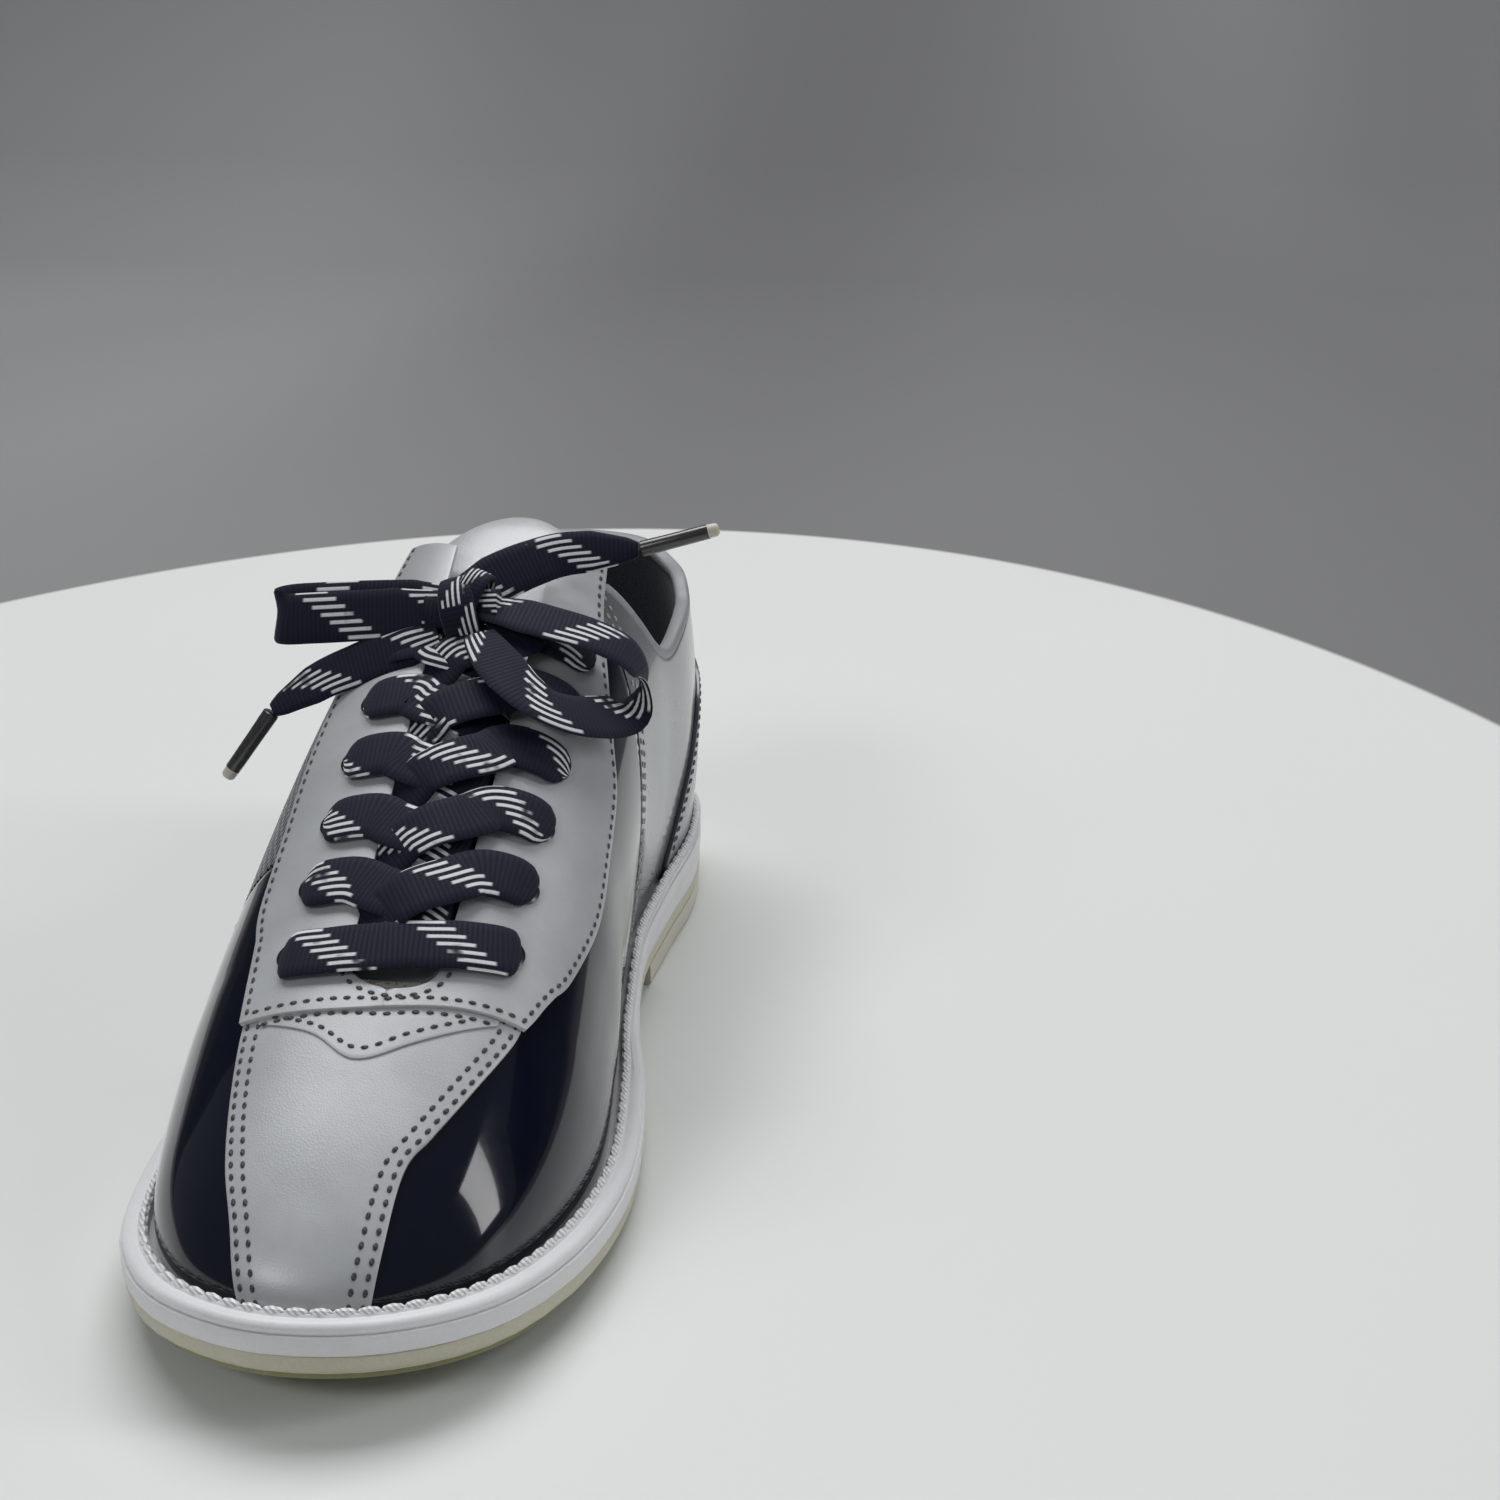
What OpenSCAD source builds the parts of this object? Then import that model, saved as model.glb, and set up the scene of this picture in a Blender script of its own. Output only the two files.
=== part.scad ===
// Bowling shoe for the right foot, standing, laced and tied.
// +Y runs from toe to heel, +X is the inner (medial) side, +Z is up, and z = 0 is the ground.
// The upper is laid on a last: a closed dome over the feather line of the sole. Every panel is
// drawn on that dome and given its own thickness by an offset along the dome's normals.

/* [Overall size] */
// Length of the sole from toe to heel
shoe_len = 290; // [230:1:330]
// Width of the sole across the ball of the foot
shoe_w = 109; // [88:1:130]
// Height of the closed ankle of the last above the ground
ankle_h = 132; // [108:1:158]

/* [Sole] */
// Thickness of the suede slide pad
pad_t = 1.6; // [1:0.1:3]
// Thickness of the outsole
outsole_t = 4.5; // [3:0.1:7]
// Thickness of the midsole
midsole_t = 4.5; // [3.2:0.1:7]
// Thickness of the welt
welt_t = 3; // [2:0.1:5]
// Height of the heel wedge at the back
wedge_t = 5; // [3:0.1:9]
// Height that the shank is raised above the pad
shank_rise = 4.5; // [2:0.1:7]
// Height of the toe's underside above the ground
toe_spring = 10.5; // [5:0.1:15]
// Width of the welt that shows round the forefoot
reveal_front = 7.5; // [5.5:0.1:10]
// Width of the welt that shows round the heel
reveal_back = 4.2; // [3.4:0.1:7]
// Distance of the pad's stitch groove from the edge of the sole
groove_in = 7; // [5:0.1:10]

/* [Upper] */
// Thickness of the leather panels and overlays
leather_t = 1.2; // [0.8:0.1:2]
// Thickness of the lining
lining_t = 1; // [0.6:0.1:1.6]
// Thickness of the stiffeners and of the collar foam
stiff_t = 1; // [0.6:0.1:2]
// Thickness of the tongue's foam
tongue_foam_t = 3.2; // [2:0.1:6]
// Half of the gap between the two facing edges
gap_half = 9.2; // [6:0.1:13]
// Distance of the first eyelets from the middle of their row, in plan
eyelet_out = 19.8; // [17:0.1:25]
// Distance between eyelet rows along the shoe, in plan
eyelet_pitch = 15.8; // [13:0.1:18]
// Outer radius of an eyelet's flange
eyelet_r = 3.6; // [3:0.1:4.5]
// Radius of the hole through an eyelet
eyelet_hole_r = 2.2; // [1.5:0.1:2.6]

/* [Lace] */
// Width of the flat lace
lace_w = 12.5; // [7:0.5:14]
// Thickness of the flat lace
lace_t = 1.5; // [1:0.1:2.5]
// Length of an aglet
aglet_len = 20; // [14:0.5:26]
// Radius of an aglet
aglet_r = 2; // [1.5:0.1:2.6]

/* [Hidden] */

// Air gap between pieces that lie on each other
clear = 0.1;
// Rows of eyelets, and the plan position of the first
eyelet_rows = 6;
eyelet_first = -65;
// How much each row of eyelets stands closer in, in plan, than the row before it
eyelet_lean = 0.75;
// How far a medial eyelet stands behind the middle of its row, and a lateral one in front of it
row_skew = 3.5;
// How much further forward the middle of the lowest lace pass lies than its ends
bar_sag = 3;

// Drawn size of the outline and the last, which the driving sizes stretch
kl = shoe_len / 290;
kw = shoe_w / 109;
kh = ankle_h / 132;

// ---------- small functions ----------
function lerp(a, b, t) = a + (b - a) * t;
function ease(t) = let (u = min(1, max(0, t))) u * u * (3 - 2 * u);
function unit(v) = v / max(norm(v), 1e-9);
function cr(p0, p1, p2, p3, f) =
    0.5 * (2 * p1 + (p2 - p0) * f + (2 * p0 - 5 * p1 + 4 * p2 - p3) * f * f
           + (3 * p1 - p0 - 3 * p2 + p3) * f * f * f);
// Smooth open curve through the points P, at t from 0 to 1
function along(P, t) =
    let (n = len(P) - 1, i = min(n - 1, floor(t * n)), f = t * n - i)
    cr(P[max(0, i - 1)], P[i], P[i + 1], P[min(n, i + 2)], f);
// Value at y of a smooth curve through points [y, value]
function slope_at(P, k) =
    let (a = max(k - 1, 0), b = min(k + 1, len(P) - 1)) (P[b][1] - P[a][1]) / (P[b][0] - P[a][0]);
function curve_at(P, y) =
    let (n = len(P) - 1)
    y <= P[0][0] ? P[0][1] :
    y >= P[n][0] ? P[n][1] :
    let (i = max([for (k = [0:n - 1]) if (y >= P[k][0]) k]), h = P[i + 1][0] - P[i][0],
         t = (y - P[i][0]) / h)
    (2 * t * t * t - 3 * t * t + 1) * P[i][1] + (t * t * t - 2 * t * t + t) * h * slope_at(P, i)
    + (3 * t * t - 2 * t * t * t) * P[i + 1][1] + (t * t * t - t * t) * h * slope_at(P, i + 1);

// ---------- the sole's outline, drawn from above as [x, distance from the toe] ----------
OUTLINE = [[3, 0], [-15, 3], [-32, 14], [-46, 36], [-54, 70], [-56, 110], [-53, 150], [-48.5, 190], [-45, 230],
           [-39.5, 262], [-26, 281], [-4, 290], [19, 282], [32, 264], [37, 236], [35.5, 205], [35, 175], [40, 145],
           [48, 115], [53, 80], [50, 48], [40, 22], [23, 6]];
ring_steps = 4;
rim_n = len(OUTLINE);
function drawn(k) = let (p = OUTLINE[(k + rim_n) % rim_n]) [p[0] * kw, (p[1] - 145) * kl];
raw_rim = [for (k = [0:rim_n - 1]) for (s = [0:ring_steps - 1])
           cr(drawn(k - 1), drawn(k), drawn(k + 1), drawn(k + 2), s / ring_steps)];
ring_n = len(raw_rim);
function middle(i) = (max([for (p = raw_rim) p[i]]) + min([for (p = raw_rim) p[i]])) / 2;
// The origin is under the middle of the outline
origin_x = middle(0);
origin_y = middle(1);
rim = [for (p = raw_rim) p - [origin_x, origin_y]];
inward = [for (k = [0:ring_n - 1])
          let (d = unit(rim[(k + 1) % ring_n] - rim[(k + ring_n - 1) % ring_n])) [d[1], -d[0]]];
function reveal(y) = lerp(reveal_front, reveal_back, ease((y / kl + 40) / 70));
function inset(d) = [for (k = [0:ring_n - 1]) rim[k] + inward[k] * d];
// The feather line, where the upper meets the sole, moved in by d
function feather(d) = [for (k = [0:ring_n - 1]) rim[k] + inward[k] * (reveal(rim[k][1]) + d)];
edge = feather(0);

// ---------- heights along the sole ----------
ball_y = -55 * kl;
pad_rear_y = 4 * kl;
breast_y = 41 * kl;
wedge_front_y = -5 * kl;
function spring(y) = y < ball_y ? toe_spring * pow((ball_y - y) / (ball_y + shoe_len / 2), 2) : 0;
function plate(y) = pad_t + spring(y) + shank_rise * ease((y / kl - 3) / 34);
function wedge_full(y) = wedge_t * ease((y / kl + 30) / 120);
function wedge_at(y) = y < wedge_front_y ? 0 : wedge_full(y);
function seat(y) = plate(y) + outsole_t + wedge_full(y) + midsole_t;

// ---------- the last ----------
toe_y = -62 * kl;
heel_y = 95 * kl;
// Centre line of the upper, [y, x]
CENTRE = [[-145, 4], [-70, 1.5], [20, -2], [95, -3.5], [146, -3.5]];
// Height of the centre line, [y, z]
SPINE = [[-146, 38], [-118, 45], [-95, 51], [-70, 60.5], [-40, 76], [-10, 92.5], [20, 108], [45, 121], [70, 129],
         [100, 132], [146, 132]];
// Roundness of the cross-section across and upwards, [y, power]
FULL_X = [[-146, 3], [-100, 2.7], [-60, 2.4], [0, 2.6], [60, 2.7], [100, 2.8], [146, 2.8]];
FULL_Z = [[-146, 2], [-60, 1.9], [0, 2], [146, 2]];
// How far the side walls swell past the feather line, [y, mm]
SWELL_IN = [[-146, 1.5], [-60, 2], [-15, 6], [25, 9], [70, 8], [105, 7], [146, 5]];
SWELL_OUT = [[-146, 1.5], [-90, 3], [-50, 6], [0, 7], [40, 6], [146, 5]];
function centre_x(y) = curve_at(CENTRE, y / kl) * kw - origin_x;
function spine_z(y) = curve_at(SPINE, y / kl) * kh;
toe_pole = [centre_x(toe_y), toe_y];
heel_pole = [centre_x(heel_y), heel_y];
function toe_angle(p) = atan2(p[0] - toe_pole[0], toe_pole[1] - p[1]);
function heel_angle(p) = atan2(p[0] - heel_pole[0], p[1] - heel_pole[1]);
REACH_TOE = [for (p = edge) if (p[1] < toe_y + 9) [toe_angle(p), norm(p - toe_pole)]];
REACH_HEEL = [for (p = edge) if (p[1] > heel_y - 9) [heel_angle(p), norm(p - heel_pole)]];
REACH_IN = [for (p = edge) if (p[0] > centre_x(p[1]) && p[1] > toe_y - 14 && p[1] < heel_y + 14)
            [p[1], p[0] - centre_x(p[1])]];
REACH_OUT = [for (p = edge) if (p[0] < centre_x(p[1]) && p[1] > toe_y - 14 && p[1] < heel_y + 14)
             [p[1], centre_x(p[1]) - p[0]]];
function pole(p) = p[1] < toe_y ? toe_pole : p[1] > heel_y ? heel_pole : [centre_x(p[1]), p[1]];
function reach(p) =
    p[1] < toe_y ? lookup(toe_angle(p), REACH_TOE) :
    p[1] > heel_y ? lookup(heel_angle(p), REACH_HEEL) :
    p[0] > centre_x(p[1]) ? lookup(p[1], REACH_IN) : lookup(p[1], REACH_OUT);
// A flat point f lies in the plan of the feather line, and its share of the way out from the
// pole is its share of the quarter turn from the spine down to the feather line.
function on_last(f) =
    let (r = pole(f), d = f - r, u = unit(d), far = reach(f), turn = 90 * min(1, norm(d) / far),
         y = f[1] / kl, inner = (u[0] + 1) / 2,
         c = pow(sin(turn), 2 / curve_at(FULL_X, y)), s = pow(max(0, cos(turn)), 2 / curve_at(FULL_Z, y)),
         swell = lerp(curve_at(SWELL_OUT, y), curve_at(SWELL_IN, y), inner) * sin(2 * turn),
         q = r + u * (far * c + swell))
    [q[0], q[1], seat(q[1]) + (spine_z(q[1]) - seat(q[1])) * s];
feel = 0.6;
function out_of(f) =
    let (a = on_last(f + [feel, 0]) - on_last(f - [feel, 0]), b = on_last(f + [0, feel]) - on_last(f - [0, feel]))
    unit(cross(a, b));
function laid(f, off) = on_last(f) + out_of(f) * off;
// Flat point of a plan point, given as [distance from the centre line, y] at the drawn size
function flat(p) =
    let (q = [centre_x(p[1] * kl) + p[0] * kw, p[1] * kl], r = pole(q), d = q - r, far = reach(q),
         c = min(1, norm(d) / far), turn = asin(pow(c, curve_at(FULL_X, p[1]) / 2)))
    r + unit(d) * far * turn / 90;
// Flat point by walking round the feather line: side is 1 for medial and -1 for lateral, g is
// 0 to 90 degrees round the toe, then 1 mm steps along the side, then 90 degrees round the heel,
// and w is 0 on the spine and 1 on the feather line.
side_len = 157;
function walk(side, g, w) =
    g < 90 ? let (u = [side * sin(g), -cos(g)]) toe_pole + u * lookup(side * g, REACH_TOE) * w :
    g < 90 + side_len ? let (y = (g - 152) * kl, far = lookup(y, side > 0 ? REACH_IN : REACH_OUT))
        [centre_x(y) + side * far * w, y] :
    let (h = g - 90 - side_len, u = [side * cos(h), sin(h)])
        heel_pole + u * lookup(side * (90 - h), REACH_HEEL) * w;
back_g = 180 + side_len;

// ---------- solids ----------
// Solid over the grid of flat points F, from offset lo to offset hi. Cells for which
// hole(i, j) is true are left open.
module skin(F, lo, hi, hole = function(i, j) false) {
    ni = len(F) - 1;
    nj = len(F[0]) - 1;
    m = nj + 1;
    base = (ni + 1) * m;
    up = [for (row = F) for (f = row) laid(f, hi)];
    down = [for (row = F) for (f = row) laid(f, lo)];
    mid = floor(ni / 2) * m;
    turned = cross(up[mid + m] - up[mid], up[mid + 1] - up[mid]) * (up[mid] - down[mid]) > 0;
    function solid(i, j) = i >= 0 && j >= 0 && i < ni && j < nj && !hole(i, j);
    function quad(a, b, c, d) = turned ? [[a, c, b], [a, d, c]] : [[a, b, c], [a, c, d]];
    faces = [for (i = [0:ni - 1]) for (j = [0:nj - 1]) if (solid(i, j))
        let (a = i * m + j, b = a + 1, c = a + m + 1, d = a + m)
        each concat(quad(d, c, b, a), quad(base + a, base + b, base + c, base + d),
            solid(i - 1, j) ? [] : quad(a, b, base + b, base + a),
            solid(i + 1, j) ? [] : quad(c, d, base + d, base + c),
            solid(i, j - 1) ? [] : quad(d, a, base + a, base + d),
            solid(i, j + 1) ? [] : quad(b, c, base + c, base + b))];
    polyhedron(concat(up, down), faces, convexity = 8);
}
// Grid of flat points between two borders, each a list of flat points of the same length
function between(A, B, ni, nj) =
    [for (i = [0:ni]) [for (j = [0:nj]) lerp(along(A, i / ni), along(B, i / ni), j / nj)]];
function round_pts(side, L) = [for (p = L) walk(side, p[0], p[1])];
function flat_pts(L) = [for (p = L) flat(p)];
// Sole layer: the outline ring between the heights lo(y) and hi(y)
stations = [for (k = [0:11]) lerp(-shoe_len / 2 - 4, ball_y, k / 11), -30 * kl, -18 * kl, wedge_front_y - 0.01,
            wedge_front_y, for (k = [0:7]) lerp(4, breast_y, k / 7), for (k = [1:5]) lerp(breast_y,
            shoe_len / 2 + 4, k / 5)];
module layer(ring, lo, hi, ys = stations) {
    side = concat([for (y = ys) [y, lo(y)]], [for (k = [len(ys) - 1:-1:0]) [ys[k], hi(ys[k])]]);
    intersection() {
        translate([0, 0, -2]) linear_extrude(60) polygon(ring);
        rotate([90, 0, 90]) linear_extrude(2 * shoe_w, center = true) polygon(side);
    }
}
// Straight stitch of thread from p to q
module stitch(p, q, r) {
    d = q - p;
    translate(p) rotate([0, acos(d[2] / norm(d)), atan2(d[1], d[0])]) cylinder(h = norm(d), r = r, $fn = 6);
}
// Band of lace or binding, swept along points P with widths along W and thicknesses along N
module sweep(P, A, N, w, t, sides) {
    n = len(P);
    rings = [for (k = [0:n - 1]) for (s = [0:sides - 1])
             P[k] + A[k] * (w / 2) * cos(s * 360 / sides) + N[k] * (t / 2) * sin(s * 360 / sides)];
    d = unit(P[1] - P[0]);
    turned = cross(A[0], N[0]) * d > 0;
    function q(a, b, c, e) = turned ? [[a, c, b], [a, e, c]] : [[a, b, c], [a, c, e]];
    walls = [for (k = [0:n - 2]) for (s = [0:sides - 1])
             let (a = k * sides + s, b = k * sides + (s + 1) % sides) each q(a, b, b + sides, a + sides)];
    first = [for (s = [0:sides - 1]) turned ? s : sides - 1 - s];
    last = [for (s = [0:sides - 1]) (n - 1) * sides + (turned ? sides - 1 - s : s)];
    polyhedron(concat(rings), concat(walls, [first, last]), convexity = 6);
}

// ---------- layers of the upper, as offsets from the last ----------
over_hi = clear + leather_t;
cap_lo = over_hi + clear;
cap_hi = cap_lo + leather_t;
base_lo = -leather_t;
stiff_hi = base_lo - clear;
stiff_lo = stiff_hi - stiff_t;
lining_hi = stiff_lo - clear;
lining_lo = lining_hi - lining_t;
tongue_hi = lining_lo - clear;
tongue_lo = tongue_hi - leather_t;
foam_hi = tongue_lo - clear;
foam_lo = foam_hi - tongue_foam_t;
inner_hi = foam_lo - clear;
inner_lo = inner_hi - lining_t;

// ---------- panel borders, in plan as [distance from the centre line, y] ----------
// Middle of the gap and of the eyelet rows, [y, distance to the medial side of the centre line]
ROW_MID = [[-82, 2.4], [-20, 1.7], [20, 0.8], [50, 0]];
function row_mid(y) = curve_at(ROW_MID, y);
facing_top = eyelet_first + (eyelet_rows - 1) * eyelet_pitch + 32;
FACING_MEDIAL = [[28.4, -74], [29.9, -68], [32.6, -56], [33, -36], [30.3, -17], [27.6, -1], [24.5, 9], [21.4, 20],
                 [18.5, 34], [17.5, facing_top + 2]];
FACING_LATERAL = [[-25.4, -81.5], [-26, -67], [-27.6, -54], [-27.4, -36], [-27.1, -15], [-25.5, 4.6], [-23, 22],
                  [-21, 38], [-19.5, facing_top + 2]];
GAP_Y = [-81, -77, -58, -38, -18, 1, 17, 31, facing_top - 5];
function gap_edge(side) = [for (y = GAP_Y) [row_mid(y) + side * gap_half, y]];
// Borders of the toe strip; each starts past the feather line, where the last stops it, and ends
// under the facing
STRIP_MEDIAL = [[14.3, -141], [14.2, -126.5], [14.8, -112.8], [18.3, -104.4], [23.1, -92.4], [27.4, -78.4],
                [28.2, -72]];
STRIP_LATERAL = [[-11, -142], [-14.6, -127.9], [-19.9, -114.3], [-23.6, -99.4], [-25.2, -87], [-25.4, -81.5],
                 [-25.4, -75]];
// Top line of the collar, by walking round: [g, w]
TOPLINE = [[197, 0.31], [203, 0.45], [212, 0.56], [226, 0.605], [247, 0.59], [270, 0.565], [300, 0.54],
           [back_g, 0.525]];

// ---------- sole ----------
pad_in = 2;
module slide_pad() {
    color("#6d6838") difference() {
        intersection() {
            layer(inset(pad_in), function(y) spring(y), function(y) spring(y) + pad_t);
            translate([0, pad_rear_y - 1.2 * shoe_w, -5]) cylinder(h = 60, r = 1.2 * shoe_w, $fn = 180);
        }
        groove(groove_in - 0.9, groove_in + 0.9, pad_rear_y - groove_in);
    }
}
groove_deep = 0.9;
module groove(a, b, rear) {
    intersection() {
        difference() {
            layer(inset(a), function(y) spring(y) - 3, function(y) spring(y) + groove_deep);
            layer(inset(b), function(y) spring(y) - 4, function(y) spring(y) + pad_t + 1);
        }
        translate([-shoe_w, -shoe_len, -5]) cube([2 * shoe_w, shoe_len + rear, 60]);
    }
}
module pad_stitching() {
    line = inset(groove_in);
    color("#d9d2b4") for (k = [0:ring_n - 1])
        if (max(line[k][1], line[(k + 1) % ring_n][1]) < pad_rear_y - groove_in) {
            a = line[k];
            b = line[(k + 1) % ring_n];
            p = lerp(a, b, 0.08);
            q = lerp(a, b, 0.92);
            stitch([p[0], p[1], spring(p[1]) + 0.5], [q[0], q[1], spring(q[1]) + 0.5], 0.35);
        }
}
module outsole() {
    color("#e6dfc4") layer(inset(0.4), function(y) plate(y), function(y) plate(y) + outsole_t - clear);
}
module heel_lift() {
    color("#e9e2c9") intersection() {
        layer(inset(0.8), function(y) 0, function(y) plate(y) - clear);
        translate([-shoe_w, breast_y, -5]) cube([2 * shoe_w, shoe_len, 60]);
    }
}
module heel_wedge() {
    color("#efece2") layer(inset(0.4), function(y) plate(y) + outsole_t,
                           function(y) plate(y) + outsole_t + wedge_full(y) - clear,
                           [for (y = stations) if (y >= wedge_front_y) y]);
}
shank_w = 14;
shank_t = 1.2;
shank_y = [-34 * kl, 74 * kl];
module shank_plan(d) {
    r = shank_w / 2 + d;
    ends = [shank_y[0] + shank_w / 2, shank_y[1] - shank_w / 2];
    translate([centre_x(20 * kl), 0, -2]) {
        for (y = ends) translate([0, y, 0]) cylinder(h = 60, r = r, $fn = 48);
        translate([-r, ends[0], 0]) cube([2 * r, ends[1] - ends[0], 60]);
    }
}
module midsole() {
    color("#f2f1ec") difference() {
        layer(inset(0), function(y) plate(y) + outsole_t + wedge_at(y), function(y) seat(y));
        intersection() {
            layer(inset(8), function(y) seat(y) - shank_t - clear, function(y) seat(y) + 3);
            shank_plan(0.2);
        }
    }
}
module shank() {
    color("#9a9da1") intersection() {
        layer(inset(8), function(y) seat(y) - shank_t, function(y) seat(y) - clear / 2);
        shank_plan(0);
    }
}
filler_t = 1.2;
board_t = 2;
footbed_t = 3.5;
module bottom_filler() {
    color("#b08a5c") layer(feather(7), function(y) seat(y) + clear / 2, function(y) seat(y) + filler_t);
}
module insole_board() {
    color("#c9a878") layer(feather(-lining_lo + 0.5), function(y) seat(y) + filler_t + clear,
                           function(y) seat(y) + filler_t + clear + board_t);
}
module footbed() {
    low = filler_t + board_t + 2 * clear;
    color("#3b3f4a") layer(feather(-lining_lo + 1), function(y) seat(y) + low,
                           function(y) seat(y) + low + footbed_t + 1.5 * ease((y / kl - 20) / 60));
}
module welt() {
    color("#f7f6f2") difference() {
        layer(inset(0.8), function(y) seat(y) + clear / 2, function(y) seat(y) + welt_t);
        layer(feather(-over_hi - 0.3), function(y) seat(y) - 1, function(y) seat(y) + welt_t + 1);
    }
}
welt_pitch = 5;
module welt_stitching() {
    line = feather(-over_hi - 0.3 - 0.9);
    color("#ffffff") for (k = [0:ring_n - 1]) {
        a = line[k];
        b = line[(k + 1) % ring_n];
        n = max(1, round(norm(b - a) / welt_pitch));
        for (s = [0:n - 1]) {
            p = lerp(a, b, (s + 0.14) / n);
            q = lerp(a, b, (s + 0.86) / n);
            stitch([p[0], p[1], seat(p[1]) + welt_t + 0.5], [q[0], q[1], seat(q[1]) + welt_t + 0.5], 0.45);
        }
    }
}

// ---------- upper ----------
front_g = [0, 22, 45, 68, 90, 106, 122, 138, 154];
module vamp_side(side) {
    top = side > 0
        ? [[5, -133], [6, -122], [9, -112], [14, -100], [21, -86], [26, -66], [27, -40], [23, -8], [15.5, 37]]
        : [[-5, -133], [-9, -125], [-15, -113], [-18, -100], [-20, -87], [-21, -76], [-22, -66], [-23.5, -54],
           [-24, -38]];
    rear = side > 0 ? [0.5, 18, 40, 66, 90, 112, 130, 150, 172] : [0.5, 16, 34, 52, 68, 84, 98, 108, 118];
    skin(between(flat_pts(top), [for (g = rear) walk(side, g, 1)], 18, 5), base_lo, 0);
}
module vamp_medial() color("#161b2e") vamp_side(1);
module vamp_lateral() color("#161b2e") vamp_side(-1);
module toe_strip() {
    color("#c3c6cb") skin(between(flat_pts(STRIP_LATERAL), flat_pts(STRIP_MEDIAL), 16, 6), clear, over_hi);
}
// The facing is one U of leather; the gap between its limbs is open from the throat up
throat_row = 2;
module facing() {
    right = flat_pts(FACING_MEDIAL);
    right_in = flat_pts(gap_edge(1));
    left = flat_pts(FACING_LATERAL);
    left_in = flat_pts(gap_edge(-1));
    rows = 20;
    limb = 4;
    F = [for (i = [0:rows]) let (t = i / rows) concat(
        [for (j = [0:limb]) lerp(along(left, t), along(left_in, t), j / limb)],
        [for (j = [0:limb]) lerp(along(right_in, t), along(right, t), j / limb)])];
    color("#d3d5d8") difference() {
        skin(F, cap_lo, cap_hi, function(i, j) j == limb && i >= throat_row);
        for (side = [-1, 1]) for (k = [0:eyelet_rows - 1]) eyelet_place(side, k)
            translate([0, 0, -6]) cylinder(h = 12, r = eyelet_hole_r + 0.7, $fn = 24);
    }
}
PATCH = [[-22, -81.5], [-11, -81.4], [0, -81.3], [12, -78.7], [24, -75.5]];
PATCH_TIP = [[-22, -82.6], [-11, -87], [-0.4, -93], [11, -87], [24, -76.8]];
patch_t = 0.8;
module throat_patch() {
    color("#c9ccd0") skin(between(flat_pts(PATCH_TIP), flat_pts(PATCH), 10, 2), cap_lo, cap_lo + patch_t);
}
// Quarter from its front seam, given from the facing down, round to the seam at the back of the heel
module quarter(side, seam, foot) {
    top = concat(flat_pts(seam), round_pts(side, TOPLINE));
    skin(between(top, [for (g = foot) walk(side, g, 1)], 20, 6), base_lo, 0);
}
module quarter_medial()
    color("#b9bdc3") quarter(1, [[16, 38], [15.5, 44]],
                             [174, 184, 194, 206, 218, 232, 247, 270, 300, back_g - 0.4]);
module quarter_lateral()
    color("#aeb2b8") quarter(-1, [[-24, -36.5], [-21.5, 6], [-15.5, 43]],
                             [120, 144, 168, 186, 202, 216, 232, 247, 270, 300, back_g - 0.4]);
module foxing_lateral() {
    low = [for (g = [121, 140, 160, 180, 200, 216]) walk(-1, g, 1)];
    high = [for (p = [[121, 0.66], [140, 0.68], [160, 0.69], [180, 0.70], [200, 0.72], [216, 0.80]])
            walk(-1, p[0], p[1])];
    color("#1a1f33") skin(between(high, low, 12, 3), clear, over_hi);
}
module heel_counter() {
    HC = [[218, 0.97], [236, 0.86], [256, 0.77], [290, 0.72], [back_g, 0.71]];
    low = [218, 236, 256, 290, back_g];
    top = concat([for (p = HC) walk(-1, p[0], p[1])], [for (k = [3:-1:0]) walk(1, HC[k][0], HC[k][1])]);
    foot = concat([for (g = low) walk(-1, g, 1)], [for (k = [3:-1:0]) walk(1, low[k], 1)]);
    color("#2b3040") skin(between(top, foot, 20, 3), clear, over_hi);
}
module toe_puff() {
    A = [for (g = [-80, -50, -25, 0, 25, 50, 80]) walk(g < 0 ? -1 : 1, abs(g), 0.62)];
    B = [for (g = [-80, -50, -25, 0, 25, 50, 80]) walk(g < 0 ? -1 : 1, abs(g), 1)];
    color("#8d8675") skin(between(A, B, 16, 3), stiff_lo, stiff_hi);
}
module heel_stiffener() {
    G = [222, 240, 262, 300];
    A = concat([for (g = G) walk(-1, g, 0.72)], [walk(1, back_g, 0.7)],
               [for (k = [3:-1:0]) walk(1, G[k], 0.72)]);
    B = concat([for (g = G) walk(-1, g, 1)], [walk(1, back_g, 1)], [for (k = [3:-1:0]) walk(1, G[k], 1)]);
    color("#8d8675") skin(between(A, B, 18, 3), stiff_lo, stiff_hi);
}
module collar_foam() {
    G = [[206, 0.51], [218, 0.59], [240, 0.6], [262, 0.575], [300, 0.54]];
    deep = 0.09;
    A = concat([for (p = G) walk(-1, p[0], p[1])], [walk(1, back_g, 0.53)],
               [for (k = [4:-1:0]) walk(1, G[k][0], G[k][1])]);
    B = concat([for (p = G) walk(-1, p[0], p[1] + deep)], [walk(1, back_g, 0.53 + deep)],
               [for (k = [4:-1:0]) walk(1, G[k][0], G[k][1] + deep)]);
    color("#e8e4d8") skin(between(A, B, 24, 2), stiff_lo, stiff_hi);
}
module vamp_lining() {
    A = flat_pts([[-26, -64], [-13, -70], [0, -72], [13, -70], [26, -64]]);
    lin = [for (g = [-92, -46, 0, 46, 92]) walk(g < 0 ? -1 : 1, abs(g), 1)];
    color("#c9c6bd") skin(between(A, lin, 20, 8), lining_lo, lining_hi);
}
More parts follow.
